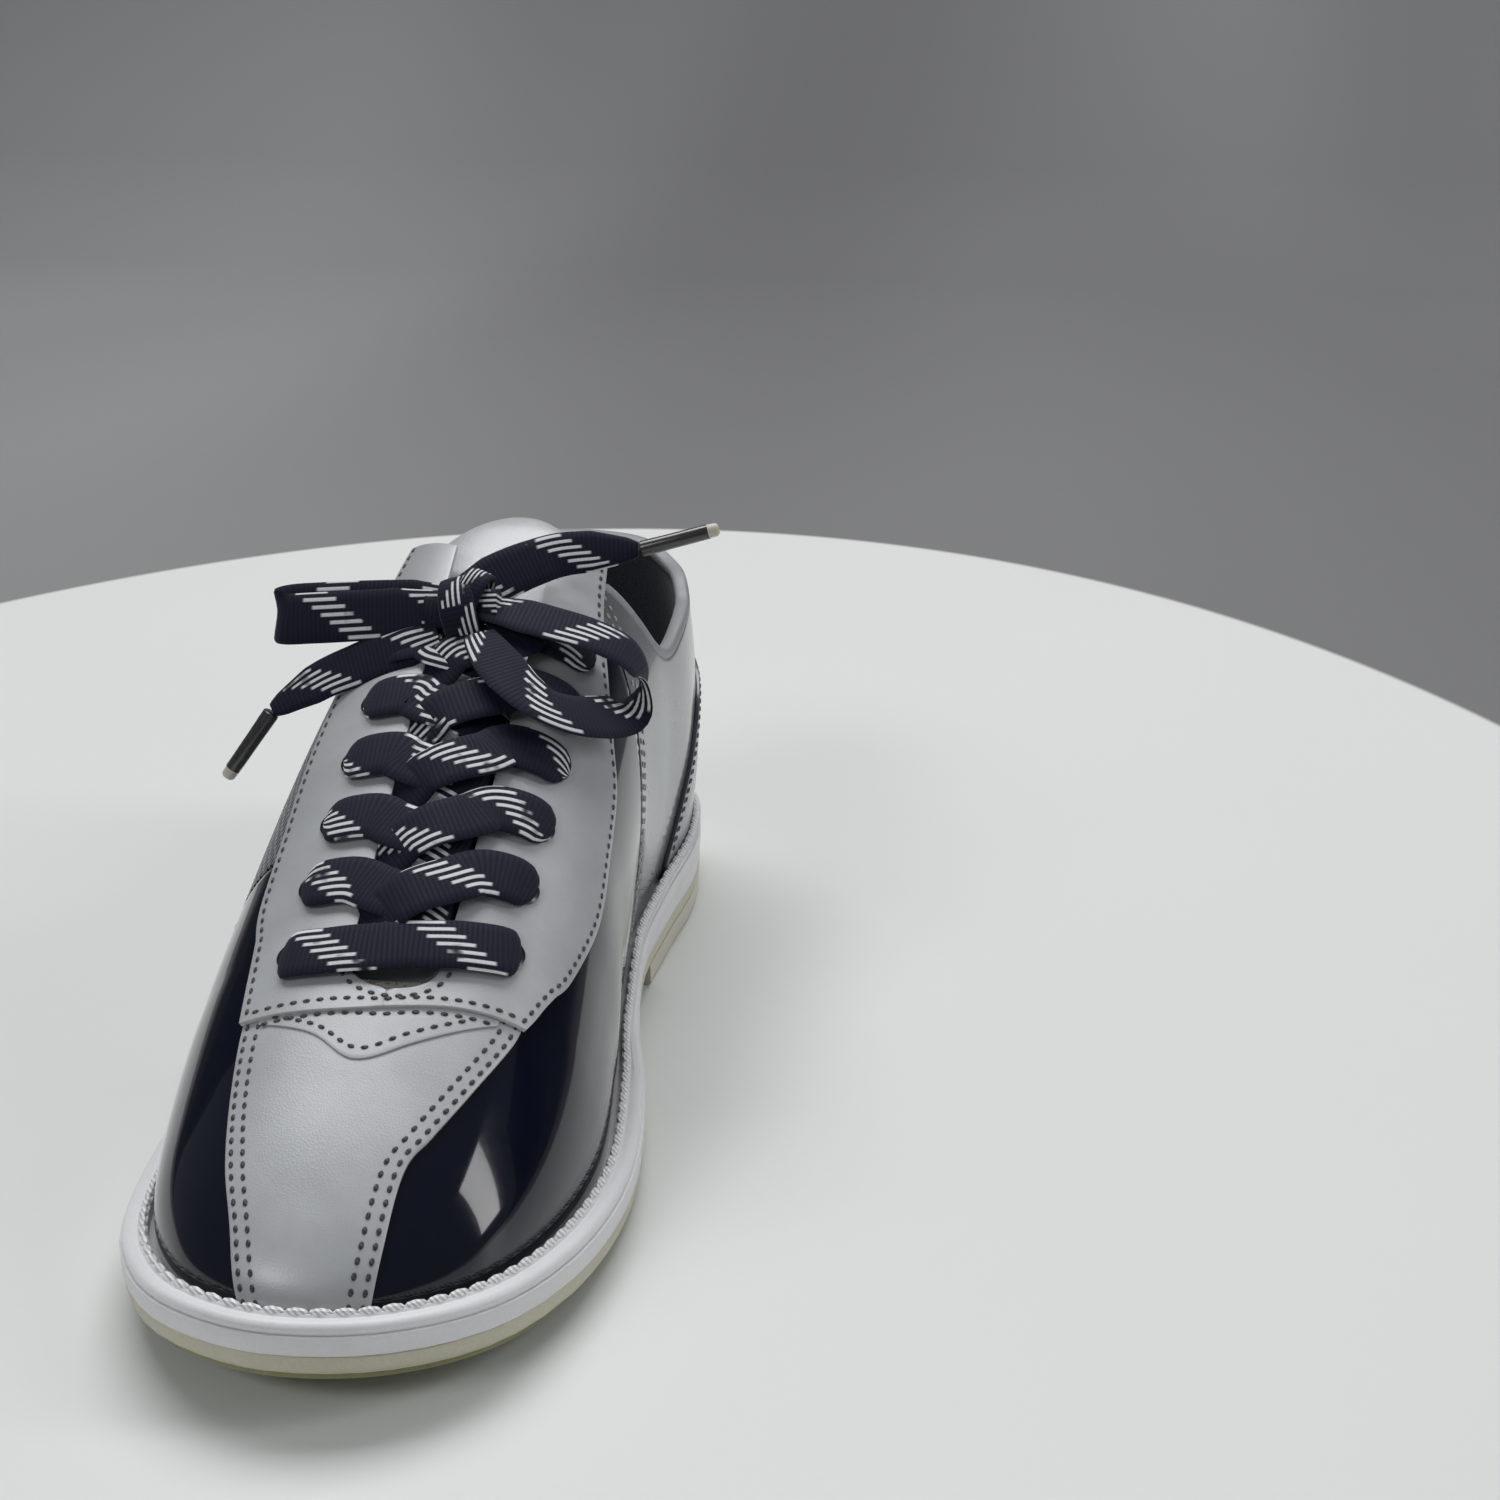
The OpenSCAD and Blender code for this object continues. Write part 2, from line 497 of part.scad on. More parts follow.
module quarter_lining() {
    G = [94, 120, 146, 170, 188, 203, 214, 236, 264, 300];
    W = [0.40, 0.36, 0.33, 0.28, 0.24, 0.46, 0.575, 0.605, 0.575, 0.54];
    A = concat([for (k = [0:9]) walk(-1, G[k], W[k])], [walk(1, back_g, 0.525)],
               [for (k = [9:-1:0]) walk(1, G[k], W[k])]);
    B = concat([for (g = G) walk(-1, g, 1)], [walk(1, back_g, 1)], [for (k = [9:-1:0]) walk(1, G[k], 1)]);
    color("#20222b") skin(between(A, B, 40, 6), lining_lo, lining_hi);
}
binding_w = 2.4;
binding_lift = 1.6;
module collar_binding() {
    n = len(TOPLINE) - 1;
    path = concat(round_pts(-1, TOPLINE), [for (k = [n - 1:-1:0]) walk(1, TOPLINE[k][0], TOPLINE[k][1])]);
    m = 36;
    P = [for (i = [0:m]) laid(along(path, i / m), lining_lo / 2)];
    N = [for (i = [0:m]) out_of(along(path, i / m))];
    T = [for (i = [0:m]) unit(P[min(m, i + 1)] - P[max(0, i - 1)])];
    A = [for (i = [0:m]) unit(cross(N[i], T[i]))];
    up = [for (i = [0:m]) A[i][2] > 0 ? A[i] : -A[i]];
    Q = [for (i = [0:m]) P[i] + up[i] * binding_lift];
    color("#9ea2a9") sweep(Q, A, N, binding_w, -lining_lo + 0.6, 8);
}
module tongue_layer(lo, hi, wide, y0, y1) {
    stops = [0, 0.35, 0.7, 1];
    A = flat_pts([for (s = stops) [-wide * lerp(0.62, 1, s), lerp(y0, y1, s)]]);
    B = flat_pts([for (s = stops) [wide * lerp(0.62, 1, s), lerp(y0, y1, s)]]);
    skin(between(A, B, 16, 6), lo, hi);
}
module tongue() color("#d6d7da") tongue_layer(tongue_lo, tongue_hi, 24, -84, 57);
module tongue_foam() color("#e8e4d8") tongue_layer(foam_lo, foam_hi, 21, -64, 55.5);
module tongue_lining() color("#1d1f28") tongue_layer(inner_lo, inner_hi, 23, -66, 57);

// ---------- eyelets and lace ----------
function eyelet_dx(k) = eyelet_out - k * eyelet_lean;
function row_y(k) = eyelet_first + k * eyelet_pitch;
function eyelet_flat(side, k) = flat([row_mid(row_y(k)) + side * eyelet_dx(k), row_y(k) + side * row_skew]);
module eyelet_place(side, k) {
    f = eyelet_flat(side, k);
    n = out_of(f);
    translate(laid(f, cap_lo)) rotate([0, acos(n[2]), atan2(n[1], n[0])]) children();
}
module eyelets() {
    color("#15161a") for (side = [-1, 1]) for (k = [0:eyelet_rows - 1]) eyelet_place(side, k)
        rotate_extrude($fn = 32) polygon([
            [eyelet_hole_r, -0.9], [eyelet_hole_r + 0.6, -0.9], [eyelet_hole_r + 0.6, leather_t + 0.3],
            [eyelet_r, leather_t + 0.3], [eyelet_r, leather_t + 0.7], [eyelet_hole_r + 0.4, leather_t + 1],
            [eyelet_hole_r, leather_t + 0.5]]);
}
lace_lo = cap_hi + 1;
// One pass of lace over the facing, from an eyelet to the far facing edge one row lower
module lace_pass(side, k, rise) {
    y = row_y(k);
    drop = eyelet_pitch;
    mid = row_mid(y);
    plan = [[mid + side * (eyelet_dx(k) + 1), y + side * row_skew],
            [mid + side * 14, y + side * row_skew * 0.8 - 0.1 * drop], [mid + side * 7, y - 0.3 * drop],
            [mid, y - 0.48 * drop], [mid - side * 7, y - 0.66 * drop]];
    lift = [lace_lo, lace_lo + 0.2, lace_lo + rise, lace_lo + rise, lace_lo + rise - 0.5];
    band(plan, lift, 8);
}
module band(plan, lift, m) {
    F = [for (i = [0:m]) along(flat_pts(plan), i / m)];
    P = [for (i = [0:m]) laid(F[i], along(lift, i / m))];
    N = [for (i = [0:m]) out_of(F[i])];
    A = [for (i = [0:m]) unit(cross(unit(P[min(m, i + 1)] - P[max(0, i - 1)]), N[i]))];
    sweep(P, A, N, lace_w, lace_t, 8);
}
module lace() {
    y = eyelet_first;
    color("#12172b") {
        band([for (s = [-1:0.5:1])
              [row_mid(y) + s * (eyelet_out + 1), y + s * row_skew - bar_sag * (1 - s * s)]],
             [lace_lo, lace_lo + 0.3, lace_lo + 0.8, lace_lo + 0.3, lace_lo], 10);
        for (k = [1:eyelet_rows - 1]) {
            lace_pass(-1, k, 1);
            lace_pass(1, k, 1 + lace_t + 0.4);
        }
    }
}
// The bow is tied over the throat, at the knot; its routes are drawn at the usual size
knot = [-4, 12, 113];
LOOP_MEDIAL = [[0, 12, 114], [8, 12, 113], [18, 12, 111], [28, 13, 108], [36, 14, 103.5], [39.5, 13, 96.5],
               [36, 11, 89.5], [27, 9, 87], [17, 7, 90], [9, 6, 96], [1, 6, 104]];
LOOP_LATERAL = [[-8, 11, 114], [-18, 11, 112], [-30, 11, 110.5], [-42, 10, 109.5], [-48, 10, 109],
                [-50.5, 13, 109], [-48, 16, 109.5], [-42, 17, 110], [-30, 17.5, 111], [-18, 17, 112],
                [-8, 16, 113]];
END_MEDIAL = [[-6, 14, 115], [-1, 19, 117], [5, 24, 119.5], [10, 28, 121], [15, 31.5, 122], [21, 33.5, 122.5],
              [28, 35, 122.8], [34, 36, 123]];
END_LATERAL = [[-9, 8, 108], [-15, 7, 106], [-22, 6, 103], [-29, 5, 100], [-36, 3.5, 97], [-43, 1.5, 93],
               [-49, 0, 89]];
AGLET_MEDIAL = [13, 2, 3.6];
AGLET_LATERAL = [-9, -4, -13];
function placed(p) = [p[0] * kw - origin_x, p[1] * kl, p[2] * kh];
// The band lies across tilt, or along it when upright
module cord(route, n, tilt, upright = false) {
    R = [for (p = route) placed(p)];
    P = [for (i = [0:n]) along(R, i / n)];
    T = [for (i = [0:n]) unit(P[min(n, i + 1)] - P[max(0, i - 1)])];
    lean = [for (t = T) unit(tilt - t * (tilt * t))];
    turned = [for (i = [0:n]) cross(T[i], lean[i])];
    color("#12172b") sweep(P, upright ? lean : turned, upright ? turned : lean, lace_w, lace_t, 8);
}
module lace_loop_medial() cord(LOOP_MEDIAL, 20, [-0.16, 0.92, 0.36], true);
module lace_loop_lateral() cord(LOOP_LATERAL, 20, [0, 0.45, 0.9], true);
module lace_end_medial() cord(END_MEDIAL, 10, [0.2, -0.85, 0.5]);
module lace_end_lateral() cord(END_LATERAL, 10, [-0.2, -0.8, 0.6]);
module aglet(start, dir) {
    d = unit(dir);
    translate(placed(start) + d * 0.6) rotate([0, acos(d[2]), atan2(d[1], d[0])])
        cylinder(h = aglet_len, r = aglet_r, $fn = 24);
}
module aglet_medial() color("#2a2723") aglet(END_MEDIAL[7], AGLET_MEDIAL);
module aglet_lateral() color("#2a2723") aglet(END_LATERAL[6], AGLET_LATERAL);
knot_r = 7.5;
module lace_knot() {
    color("#12172b") translate(placed(knot)) rotate([55, 0, 0])
        cylinder(h = 8, r = knot_r, center = true, $fn = 32);
}

slide_pad();
pad_stitching();
outsole();
heel_lift();
heel_wedge();
midsole();
shank();
bottom_filler();
welt();
welt_stitching();
insole_board();
footbed();
vamp_lining();
quarter_lining();
toe_puff();
heel_stiffener();
collar_foam();
collar_binding();
vamp_medial();
vamp_lateral();
toe_strip();
throat_patch();
facing();
quarter_medial();
quarter_lateral();
foxing_lateral();
heel_counter();
tongue();
tongue_foam();
tongue_lining();
eyelets();
lace();
lace_knot();
lace_loop_medial();
lace_loop_lateral();
lace_end_medial();
lace_end_lateral();
aglet_medial();
aglet_lateral();
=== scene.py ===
"""Bowling shoe for the right foot: the visible finish over its fixed frame."""

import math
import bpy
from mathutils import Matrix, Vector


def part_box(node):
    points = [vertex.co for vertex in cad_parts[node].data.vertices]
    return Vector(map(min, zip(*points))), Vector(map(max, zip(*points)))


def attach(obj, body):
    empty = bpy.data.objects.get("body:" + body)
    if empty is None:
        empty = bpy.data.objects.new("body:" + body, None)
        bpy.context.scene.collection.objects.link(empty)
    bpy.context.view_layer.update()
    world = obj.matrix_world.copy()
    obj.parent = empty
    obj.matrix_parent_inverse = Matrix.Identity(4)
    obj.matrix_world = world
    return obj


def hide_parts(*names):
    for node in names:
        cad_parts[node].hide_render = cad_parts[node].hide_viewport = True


bl_info = {
    "name": "Bowling shoe",
    "version": (1, 0, 0),
    "blender": (4, 5, 0),
    "location": "View3D > Sidebar > Shoe",
    "description": "Builds the leathers, sole, laces and stitching of a bowling shoe on its frame",
    "category": "Object",
}

import bmesh
import bpy
import numpy as np
from mathutils import Matrix, Vector

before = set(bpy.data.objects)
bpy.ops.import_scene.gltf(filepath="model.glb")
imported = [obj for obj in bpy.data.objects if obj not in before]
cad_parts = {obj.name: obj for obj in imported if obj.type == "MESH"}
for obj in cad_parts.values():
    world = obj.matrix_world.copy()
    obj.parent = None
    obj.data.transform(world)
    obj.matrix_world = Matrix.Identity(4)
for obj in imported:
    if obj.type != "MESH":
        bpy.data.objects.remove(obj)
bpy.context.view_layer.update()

MM = 0.001
BODY = "root"

# ---------- driving sizes, in millimetres, from the frame ----------
SOLE_LOW, SOLE_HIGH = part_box("midsole")
SHOE_LEN = (SOLE_HIGH.y - SOLE_LOW.y) / MM
SHOE_W = (SOLE_HIGH.x - SOLE_LOW.x) / MM
NOMINAL_LEN, NOMINAL_W, NOMINAL_H = 290, 109, 132
ANKLE_H = NOMINAL_H
KL = SHOE_LEN / NOMINAL_LEN
KW = SHOE_W / NOMINAL_W
KH = ANKLE_H / NOMINAL_H

PAD_T = 1.6
OUTSOLE_T = 4.5
MIDSOLE_T = 4.5
WELT_T = 3
WEDGE_T = 5
SHANK_RISE = 4.5
TOE_SPRING = 10.5
REVEAL_FRONT = 7.5
REVEAL_BACK = 4.2
PAD_IN = 2
GROOVE_IN = 7
CLEAR = 0.1
LEATHER_T = 1.2
LINING_T = 1
STIFF_T = 1
TONGUE_FOAM_T = 3.2

BALL_Y = -55 * KL
PAD_REAR_Y = 4 * KL
BREAST_Y = 41 * KL
WEDGE_FRONT_Y = -5 * KL

# Offsets of the upper's layers from the last
OVER_LO, OVER_HI = CLEAR, CLEAR + LEATHER_T
CAP_LO = OVER_HI + CLEAR
CAP_HI = CAP_LO + LEATHER_T
BASE_LO = -LEATHER_T
STIFF_HI = BASE_LO - CLEAR
STIFF_LO = STIFF_HI - STIFF_T
LINING_HI = STIFF_LO - CLEAR
LINING_LO = LINING_HI - LINING_T
TONGUE_HI = LINING_LO - CLEAR
TONGUE_LO = TONGUE_HI - LEATHER_T
FOAM_HI = TONGUE_LO - CLEAR
FOAM_LO = FOAM_HI - TONGUE_FOAM_T
INNER_HI = FOAM_LO - CLEAR
INNER_LO = INNER_HI - LINING_T

# Sole outline from above, [x, distance from the toe]
OUTLINE = [[3, 0], [-15, 3], [-32, 14], [-46, 36], [-54, 70], [-56, 110], [-53, 150], [-48.5, 190],
           [-45, 230], [-39.5, 262], [-26, 281], [-4, 290], [19, 282], [32, 264], [37, 236],
           [35.5, 205], [35, 175], [40, 145], [48, 115], [53, 80], [50, 48], [40, 22], [23, 6]]
RING_STEPS = 10

# The last: curves along the shoe as [y, value]
CENTRE = [[-145, 4], [-70, 1.5], [20, -2], [95, -3.5], [146, -3.5]]
SPINE = [[-146, 38], [-118, 45], [-95, 51], [-70, 60.5], [-40, 76], [-10, 92.5], [20, 108],
         [45, 121], [70, 129], [100, 132], [146, 132]]
FULL_X = [[-146, 3], [-100, 2.7], [-60, 2.4], [0, 2.6], [60, 2.7], [100, 2.8], [146, 2.8]]
FULL_Z = [[-146, 2], [-60, 1.9], [0, 2], [146, 2]]
SWELL_IN = [[-146, 1.5], [-60, 2], [-15, 6], [25, 9], [70, 8], [105, 7], [146, 5]]
SWELL_OUT = [[-146, 1.5], [-90, 3], [-50, 6], [0, 7], [40, 6], [146, 5]]
TOE_END, HEEL_END = -62, 95
TOE_Y = TOE_END * KL
HEEL_Y = HEEL_END * KL
# Overlaps of the reach tables at the two ends, and half the step that feels for the surface's normal
END_LAP, SIDE_LAP = 9, 14
FEEL = 0.6

# Eyelets and facing, in plan as [distance from the centre line, y]
EYELET_ROWS = 6
EYELET_FIRST = -65
EYELET_PITCH = 15.8
EYELET_OUT = 19.8
EYELET_LEAN = 0.75
ROW_SKEW = 3.5
BAR_SAG = 3
ROW_MID = [[-82, 2.4], [-20, 1.7], [20, 0.8], [50, 0]]
GAP_HALF = 9.2
FACING_TOP = EYELET_FIRST + (EYELET_ROWS - 1) * EYELET_PITCH + 32
FACING_MEDIAL = [[28.4, -74], [29.9, -68], [32.6, -56], [33, -36], [30.3, -17], [27.6, -1], [24.5, 9],
                 [21.4, 20], [18.5, 34], [17.5, FACING_TOP + 2]]
FACING_LATERAL = [[-25.4, -81.5], [-26, -67], [-27.6, -54], [-27.4, -36], [-27.1, -15], [-25.5, 4.6],
                  [-23, 22], [-21, 38], [-19.5, FACING_TOP + 2]]
FACING_LOW = [[-25.4, -81.5], [2.4, -81], [28.4, -74]]
THROAT_Y = -76.8
THROAT_R = 7
STRIP_IN = [[14.3, -141], [14.2, -126.5], [14.8, -112.8], [18.3, -104.4], [23.1, -92.4], [27.4, -78.4],
            [28.2, -72]]
STRIP_OUT = [[-11, -142], [-14.6, -127.9], [-19.9, -114.3], [-23.6, -99.4], [-25.2, -87], [-25.4, -81.5],
             [-25.4, -75]]
PATCH = [[-22, -81.5], [-11, -81.3], [0, -81.1], [12, -78.5], [24, -75.3]]
PATCH_TIP = [[-22, -82.6], [-11, -87], [-0.4, -93], [11, -87], [24, -76.6]]
VAMP_IN = [[5, -133], [6, -122], [9, -112], [14, -100], [21, -86], [26, -66], [27, -40], [23, -8],
           [15.5, 37]]
VAMP_OUT = [[-5, -133], [-9, -125], [-15, -113], [-18, -100], [-20, -87], [-21, -76], [-22, -66],
            [-23.5, -54], [-24, -38]]
# Steps of the walk from the toe: degrees round it, then millimetres, then degrees round the heel
SIDE_LEN = HEEL_END - TOE_END
SIDE_START = 90 - TOE_END
HEEL_G = 90 + SIDE_LEN
BACK_G = HEEL_G + 90
TOPLINE = [[197, 0.31], [203, 0.45], [212, 0.56], [226, 0.605], [247, 0.59], [270, 0.565],
           [300, 0.54], [BACK_G, 0.525]]
FOXING = [[121, 0.66], [140, 0.68], [160, 0.69], [180, 0.70], [200, 0.72], [216, 0.80]]
COUNTER = [[218, 0.97], [236, 0.86], [256, 0.77], [290, 0.72], [BACK_G, 0.71]]

# Lace; HOLE_W is its width where it is gathered
LACE_W = 12.5
LACE_T = 1.5
HOLE_W = 7.5
AGLET_LEN = 20
KNOT = [-4, 12, 113]
LOOP_MEDIAL = [[0, 12, 114], [8, 12, 113], [18, 12, 111], [28, 13, 108], [36, 14, 103.5],
               [39.5, 13, 97], [37, 7, 91.5], [30, -4.5, 94], [22.5, -10, 98], [15, -8, 102], [8, -2, 106],
               [2, 5, 109.5]]
LOOP_LATERAL = [[-8, 11, 114], [-18, 11, 112], [-30, 11, 110.5], [-42, 10, 109.5], [-48, 10, 109],
                [-50.5, 13, 109], [-48, 16, 109.5], [-42, 17, 110], [-30, 17.5, 111], [-18, 17, 112],
                [-8, 16, 113]]
END_MEDIAL = [[-6, 14, 115], [-1, 19, 117], [5, 24, 119.5], [10, 28, 121], [15, 31.5, 122],
              [21, 33.5, 122.5], [28, 35, 122.8], [34, 36, 123]]
END_LATERAL = [[-9, 8, 108], [-15, 7, 106], [-22, 6, 103], [-29, 5, 100], [-36, 3.5, 97], [-43, 1.5, 93],
               [-49, 0, 89]]
AGLET_MEDIAL = [13, 2, 3.6]
AGLET_LATERAL = [-9, -4, -13]


# ---------- curves ----------
def ease(t):
    t = np.clip(t, 0, 1)
    return t * t * (3 - 2 * t)


def lerp(a, b, t):
    return a + (b - a) * t


def unit(v):
    v = np.asarray(v, float)
    return v / np.maximum(np.linalg.norm(v, axis=-1, keepdims=True), 1e-9)


def spline(p0, p1, p2, p3, f):
    return 0.5 * (2 * p1 + (p2 - p0) * f + (2 * p0 - 5 * p1 + 4 * p2 - p3) * f ** 2
                  + (3 * p1 - p0 - 3 * p2 + p3) * f ** 3)


def along(points, t):
    """Places at t, from 0 to 1, on a smooth open curve through the points."""
    points = np.asarray(points, float)
    n = len(points) - 1
    t = np.atleast_1d(np.asarray(t, float))
    i = np.clip((t * n).astype(int), 0, n - 1)
    f = (t * n - i)[:, None]
    return spline(points[np.maximum(i - 1, 0)], points[i], points[i + 1],
                  points[np.minimum(i + 2, n)], f)


def line_of(points, n=120):
    return along(points, np.linspace(0, 1, n))


def run_of(points):
    """Length of a line up to each of its points."""
    return np.concatenate([[0], np.cumsum(np.linalg.norm(np.diff(points, axis=0), axis=1))])


def curve_at(points, y):
    """Value at y of a smooth curve through [y, value] points."""
    xs, vs = np.asarray(points, float).T
    y = np.clip(np.asarray(y, float), xs[0], xs[-1])
    n = len(xs) - 1
    after = np.minimum(np.arange(n + 1) + 1, n)
    before = np.maximum(np.arange(n + 1) - 1, 0)
    slopes = (vs[after] - vs[before]) / (xs[after] - xs[before])
    i = np.clip(np.searchsorted(xs, y, side="right") - 1, 0, n - 1)
    h = xs[i + 1] - xs[i]
    t = (y - xs[i]) / h
    return ((2 * t ** 3 - 3 * t ** 2 + 1) * vs[i] + (t ** 3 - 2 * t ** 2 + t) * h * slopes[i]
            + (3 * t ** 2 - 2 * t ** 3) * vs[i + 1] + (t ** 3 - t ** 2) * h * slopes[i + 1])


def make_rim():
    """The sole's outline, the directions in from it and the point it is centred on."""
    drawn = np.array([[x * KW, (s - NOMINAL_LEN / 2) * KL] for x, s in OUTLINE])
    n = len(drawn)
    f = (np.arange(RING_STEPS) / RING_STEPS)[:, None]
    ring = np.vstack([spline(drawn[k - 1], drawn[k], drawn[(k + 1) % n], drawn[(k + 2) % n], f)
                      for k in range(n)])
    middle = (ring.max(0) + ring.min(0)) / 2
    ring = ring - middle
    step = unit(np.roll(ring, -1, 0) - np.roll(ring, 1, 0))
    return ring, np.column_stack([step[:, 1], -step[:, 0]]), middle


RIM, INWARD, ORIGIN = make_rim()


def reveal(y):
    return lerp(REVEAL_FRONT, REVEAL_BACK, ease((y / KL + 40) / 70))


def inset(distance):
    """The sole's outline moved in by a distance, which may depend on y."""
    d = distance(RIM[:, 1]) if callable(distance) else np.full(len(RIM), float(distance))
    return RIM + INWARD * d[:, None]


# ---------- heights along the sole ----------
def spring(y):
    y = np.asarray(y, float)
    return np.where(y < BALL_Y, TOE_SPRING * ((BALL_Y - y) / (BALL_Y + SHOE_LEN / 2)) ** 2, 0)


def plate(y):
    return PAD_T + spring(y) + SHANK_RISE * ease((y / KL - 3) / 34)


def wedge_full(y):
    return WEDGE_T * ease((y / KL + 30) / 120)


def seat(y):
    return plate(y) + OUTSOLE_T + wedge_full(y) + MIDSOLE_T


# ---------- the last ----------
EDGE = inset(reveal)


def centre_x(y):
    return curve_at(CENTRE, np.asarray(y, float) / KL) * KW - ORIGIN[0]


def spine_z(y):
    return curve_at(SPINE, np.asarray(y, float) / KL) * KH


TOE_POLE = np.array([float(centre_x(TOE_Y)), TOE_Y])
HEEL_POLE = np.array([float(centre_x(HEEL_Y)), HEEL_Y])


def reach_table(rows):
    return np.array(sorted(rows)).T


REACH_TOE = reach_table([[math.degrees(math.atan2(p[0] - TOE_POLE[0], TOE_POLE[1] - p[1])),
                          np.linalg.norm(p - TOE_POLE)] for p in EDGE if p[1] < TOE_Y + END_LAP])
REACH_HEEL = reach_table([[math.degrees(math.atan2(p[0] - HEEL_POLE[0], p[1] - HEEL_POLE[1])),
                           np.linalg.norm(p - HEEL_POLE)] for p in EDGE if p[1] > HEEL_Y - END_LAP])
SIDE_EDGE = [p for p in EDGE if TOE_Y - SIDE_LAP < p[1] < HEEL_Y + SIDE_LAP]
REACH_IN = reach_table([[p[1], p[0] - centre_x(p[1])] for p in SIDE_EDGE if p[0] > centre_x(p[1])])
REACH_OUT = reach_table([[p[1], centre_x(p[1]) - p[0]] for p in SIDE_EDGE if p[0] < centre_x(p[1])])


def poles(points):
    """Where the lines across the last start: the two poles and the centre line between them."""
    y = points[:, 1]
    toe, heel = y < TOE_Y, y > HEEL_Y
    px = np.where(toe, TOE_POLE[0], np.where(heel, HEEL_POLE[0], centre_x(y)))
    return np.column_stack([px, np.clip(y, TOE_Y, HEEL_Y)])


def reach(points):
    """Distance from the pole to the feather line through each point."""
    x, y = points[:, 0], points[:, 1]
    toe = np.interp(np.degrees(np.arctan2(x - TOE_POLE[0], TOE_POLE[1] - y)), *REACH_TOE)
    heel = np.interp(np.degrees(np.arctan2(x - HEEL_POLE[0], y - HEEL_POLE[1])), *REACH_HEEL)
    side = np.where(x > centre_x(y), np.interp(y, *REACH_IN), np.interp(y, *REACH_OUT))
    return np.where(y < TOE_Y, toe, np.where(y > HEEL_Y, heel, side))


def on_last(flats):
    """Points of the last's surface, from flat points in the plan of the feather line."""
    flats = np.atleast_2d(np.asarray(flats, float))
    pole = poles(flats)
    d = flats - pole
    dist = np.linalg.norm(d, axis=1)
    far = reach(flats)
    out = unit(d)
    turn = np.pi / 2 * np.minimum(1, dist / far)
    y = flats[:, 1] / KL
    inner = (out[:, 0] + 1) / 2
    c = np.sin(turn) ** (2 / curve_at(FULL_X, y))
    s = np.clip(np.cos(turn), 0, 1) ** (2 / curve_at(FULL_Z, y))
    swell = lerp(curve_at(SWELL_OUT, y), curve_at(SWELL_IN, y), inner) * np.sin(2 * turn)
    q = pole + out * (far * c + swell)[:, None]
    base = seat(q[:, 1])
    return np.column_stack([q, base + (spine_z(q[:, 1]) - base) * s])


def out_of(flats):
    """Unit normals of the last at flat points."""
    flats = np.atleast_2d(np.asarray(flats, float))
    a = on_last(flats + [FEEL, 0]) - on_last(flats - [FEEL, 0])
    b = on_last(flats + [0, FEEL]) - on_last(flats - [0, FEEL])
    return unit(np.cross(a, b))


def laid(flats, off):
    """Points at an offset from the last."""
    off = np.broadcast_to(np.asarray(off, float), (len(np.atleast_2d(flats)),))
    return on_last(flats) + out_of(flats) * off[:, None]


def flat(plan):
    """Flat points of plan points, given as [distance from the centre line, y]."""
    plan = np.atleast_2d(np.asarray(plan, float))
    y = plan[:, 1] * KL
    q = np.column_stack([centre_x(y) + plan[:, 0] * KW, y])
    pole = poles(q)
    d = q - pole
    far = reach(q)
    c = np.minimum(1, np.linalg.norm(d, axis=1) / far)
    turn = np.arcsin(c ** (curve_at(FULL_X, plan[:, 1]) / 2))
    return pole + unit(d) * (far * turn / (np.pi / 2))[:, None]


def walk(side, g, w):
    """Flat point by walking round the feather line from the toe (g) and down from the spine (w)."""
    if g < 90:
        r = math.radians(g)
        way = np.array([side * math.sin(r), -math.cos(r)])
        return TOE_POLE + way * np.interp(side * g, *REACH_TOE) * w
    if g < HEEL_G:
        y = (g - SIDE_START) * KL
        far = np.interp(y, *(REACH_IN if side > 0 else REACH_OUT))
        return np.array([centre_x(y) + side * far * w, y])
    r = math.radians(g - HEEL_G)
    way = np.array([side * math.cos(r), math.sin(r)])
    return HEEL_POLE + way * np.interp(side * (BACK_G - g), *REACH_HEEL) * w


def walks(side, rows):
    return np.array([walk(side, g, w) for g, w in rows])


def foot_line(side, angles, n=60):
    """The feather line through the given steps of the walk round it."""
    at = np.linspace(0, len(angles) - 1, n)
    return walks(side, [[g, 1] for g in np.interp(at, np.arange(len(angles)), angles)])


def at_foot(rows):
    """The feather line under a lateral border."""
    return walks(-1, [[g, 1] for g, _ in rows])


def both_sides(rows, back):
    """Lateral rows, the back point, then the same rows on the medial side."""
    return np.vstack([walks(-1, rows), [walk(1, BACK_G, back)], walks(1, rows[::-1])])


def counter_line(rows):
    """Flat points along a border of the heel counter, from the lateral side round to the medial."""
    dense = [[g, curve_at(rows, g)] for g in np.linspace(rows[0][0], BACK_G, 25)]
    return both_sides(dense[:-1], rows[-1][1])


def along_rows(y):
    """Middle of the gap and of the eyelet rows."""
    return curve_at(ROW_MID, y)


def placed(p):
    return np.array([p[0] * KW - ORIGIN[0], p[1] * KL, p[2] * KH])


def step_in(border, other, distance):
    """Flat line that runs beside a border, a surface distance in towards the other border."""
    d = unit(other - border)
    stretch = np.linalg.norm(on_last(border + d) - on_last(border), axis=1)
    return border + d * (distance / np.maximum(stretch, 0.3))[:, None]


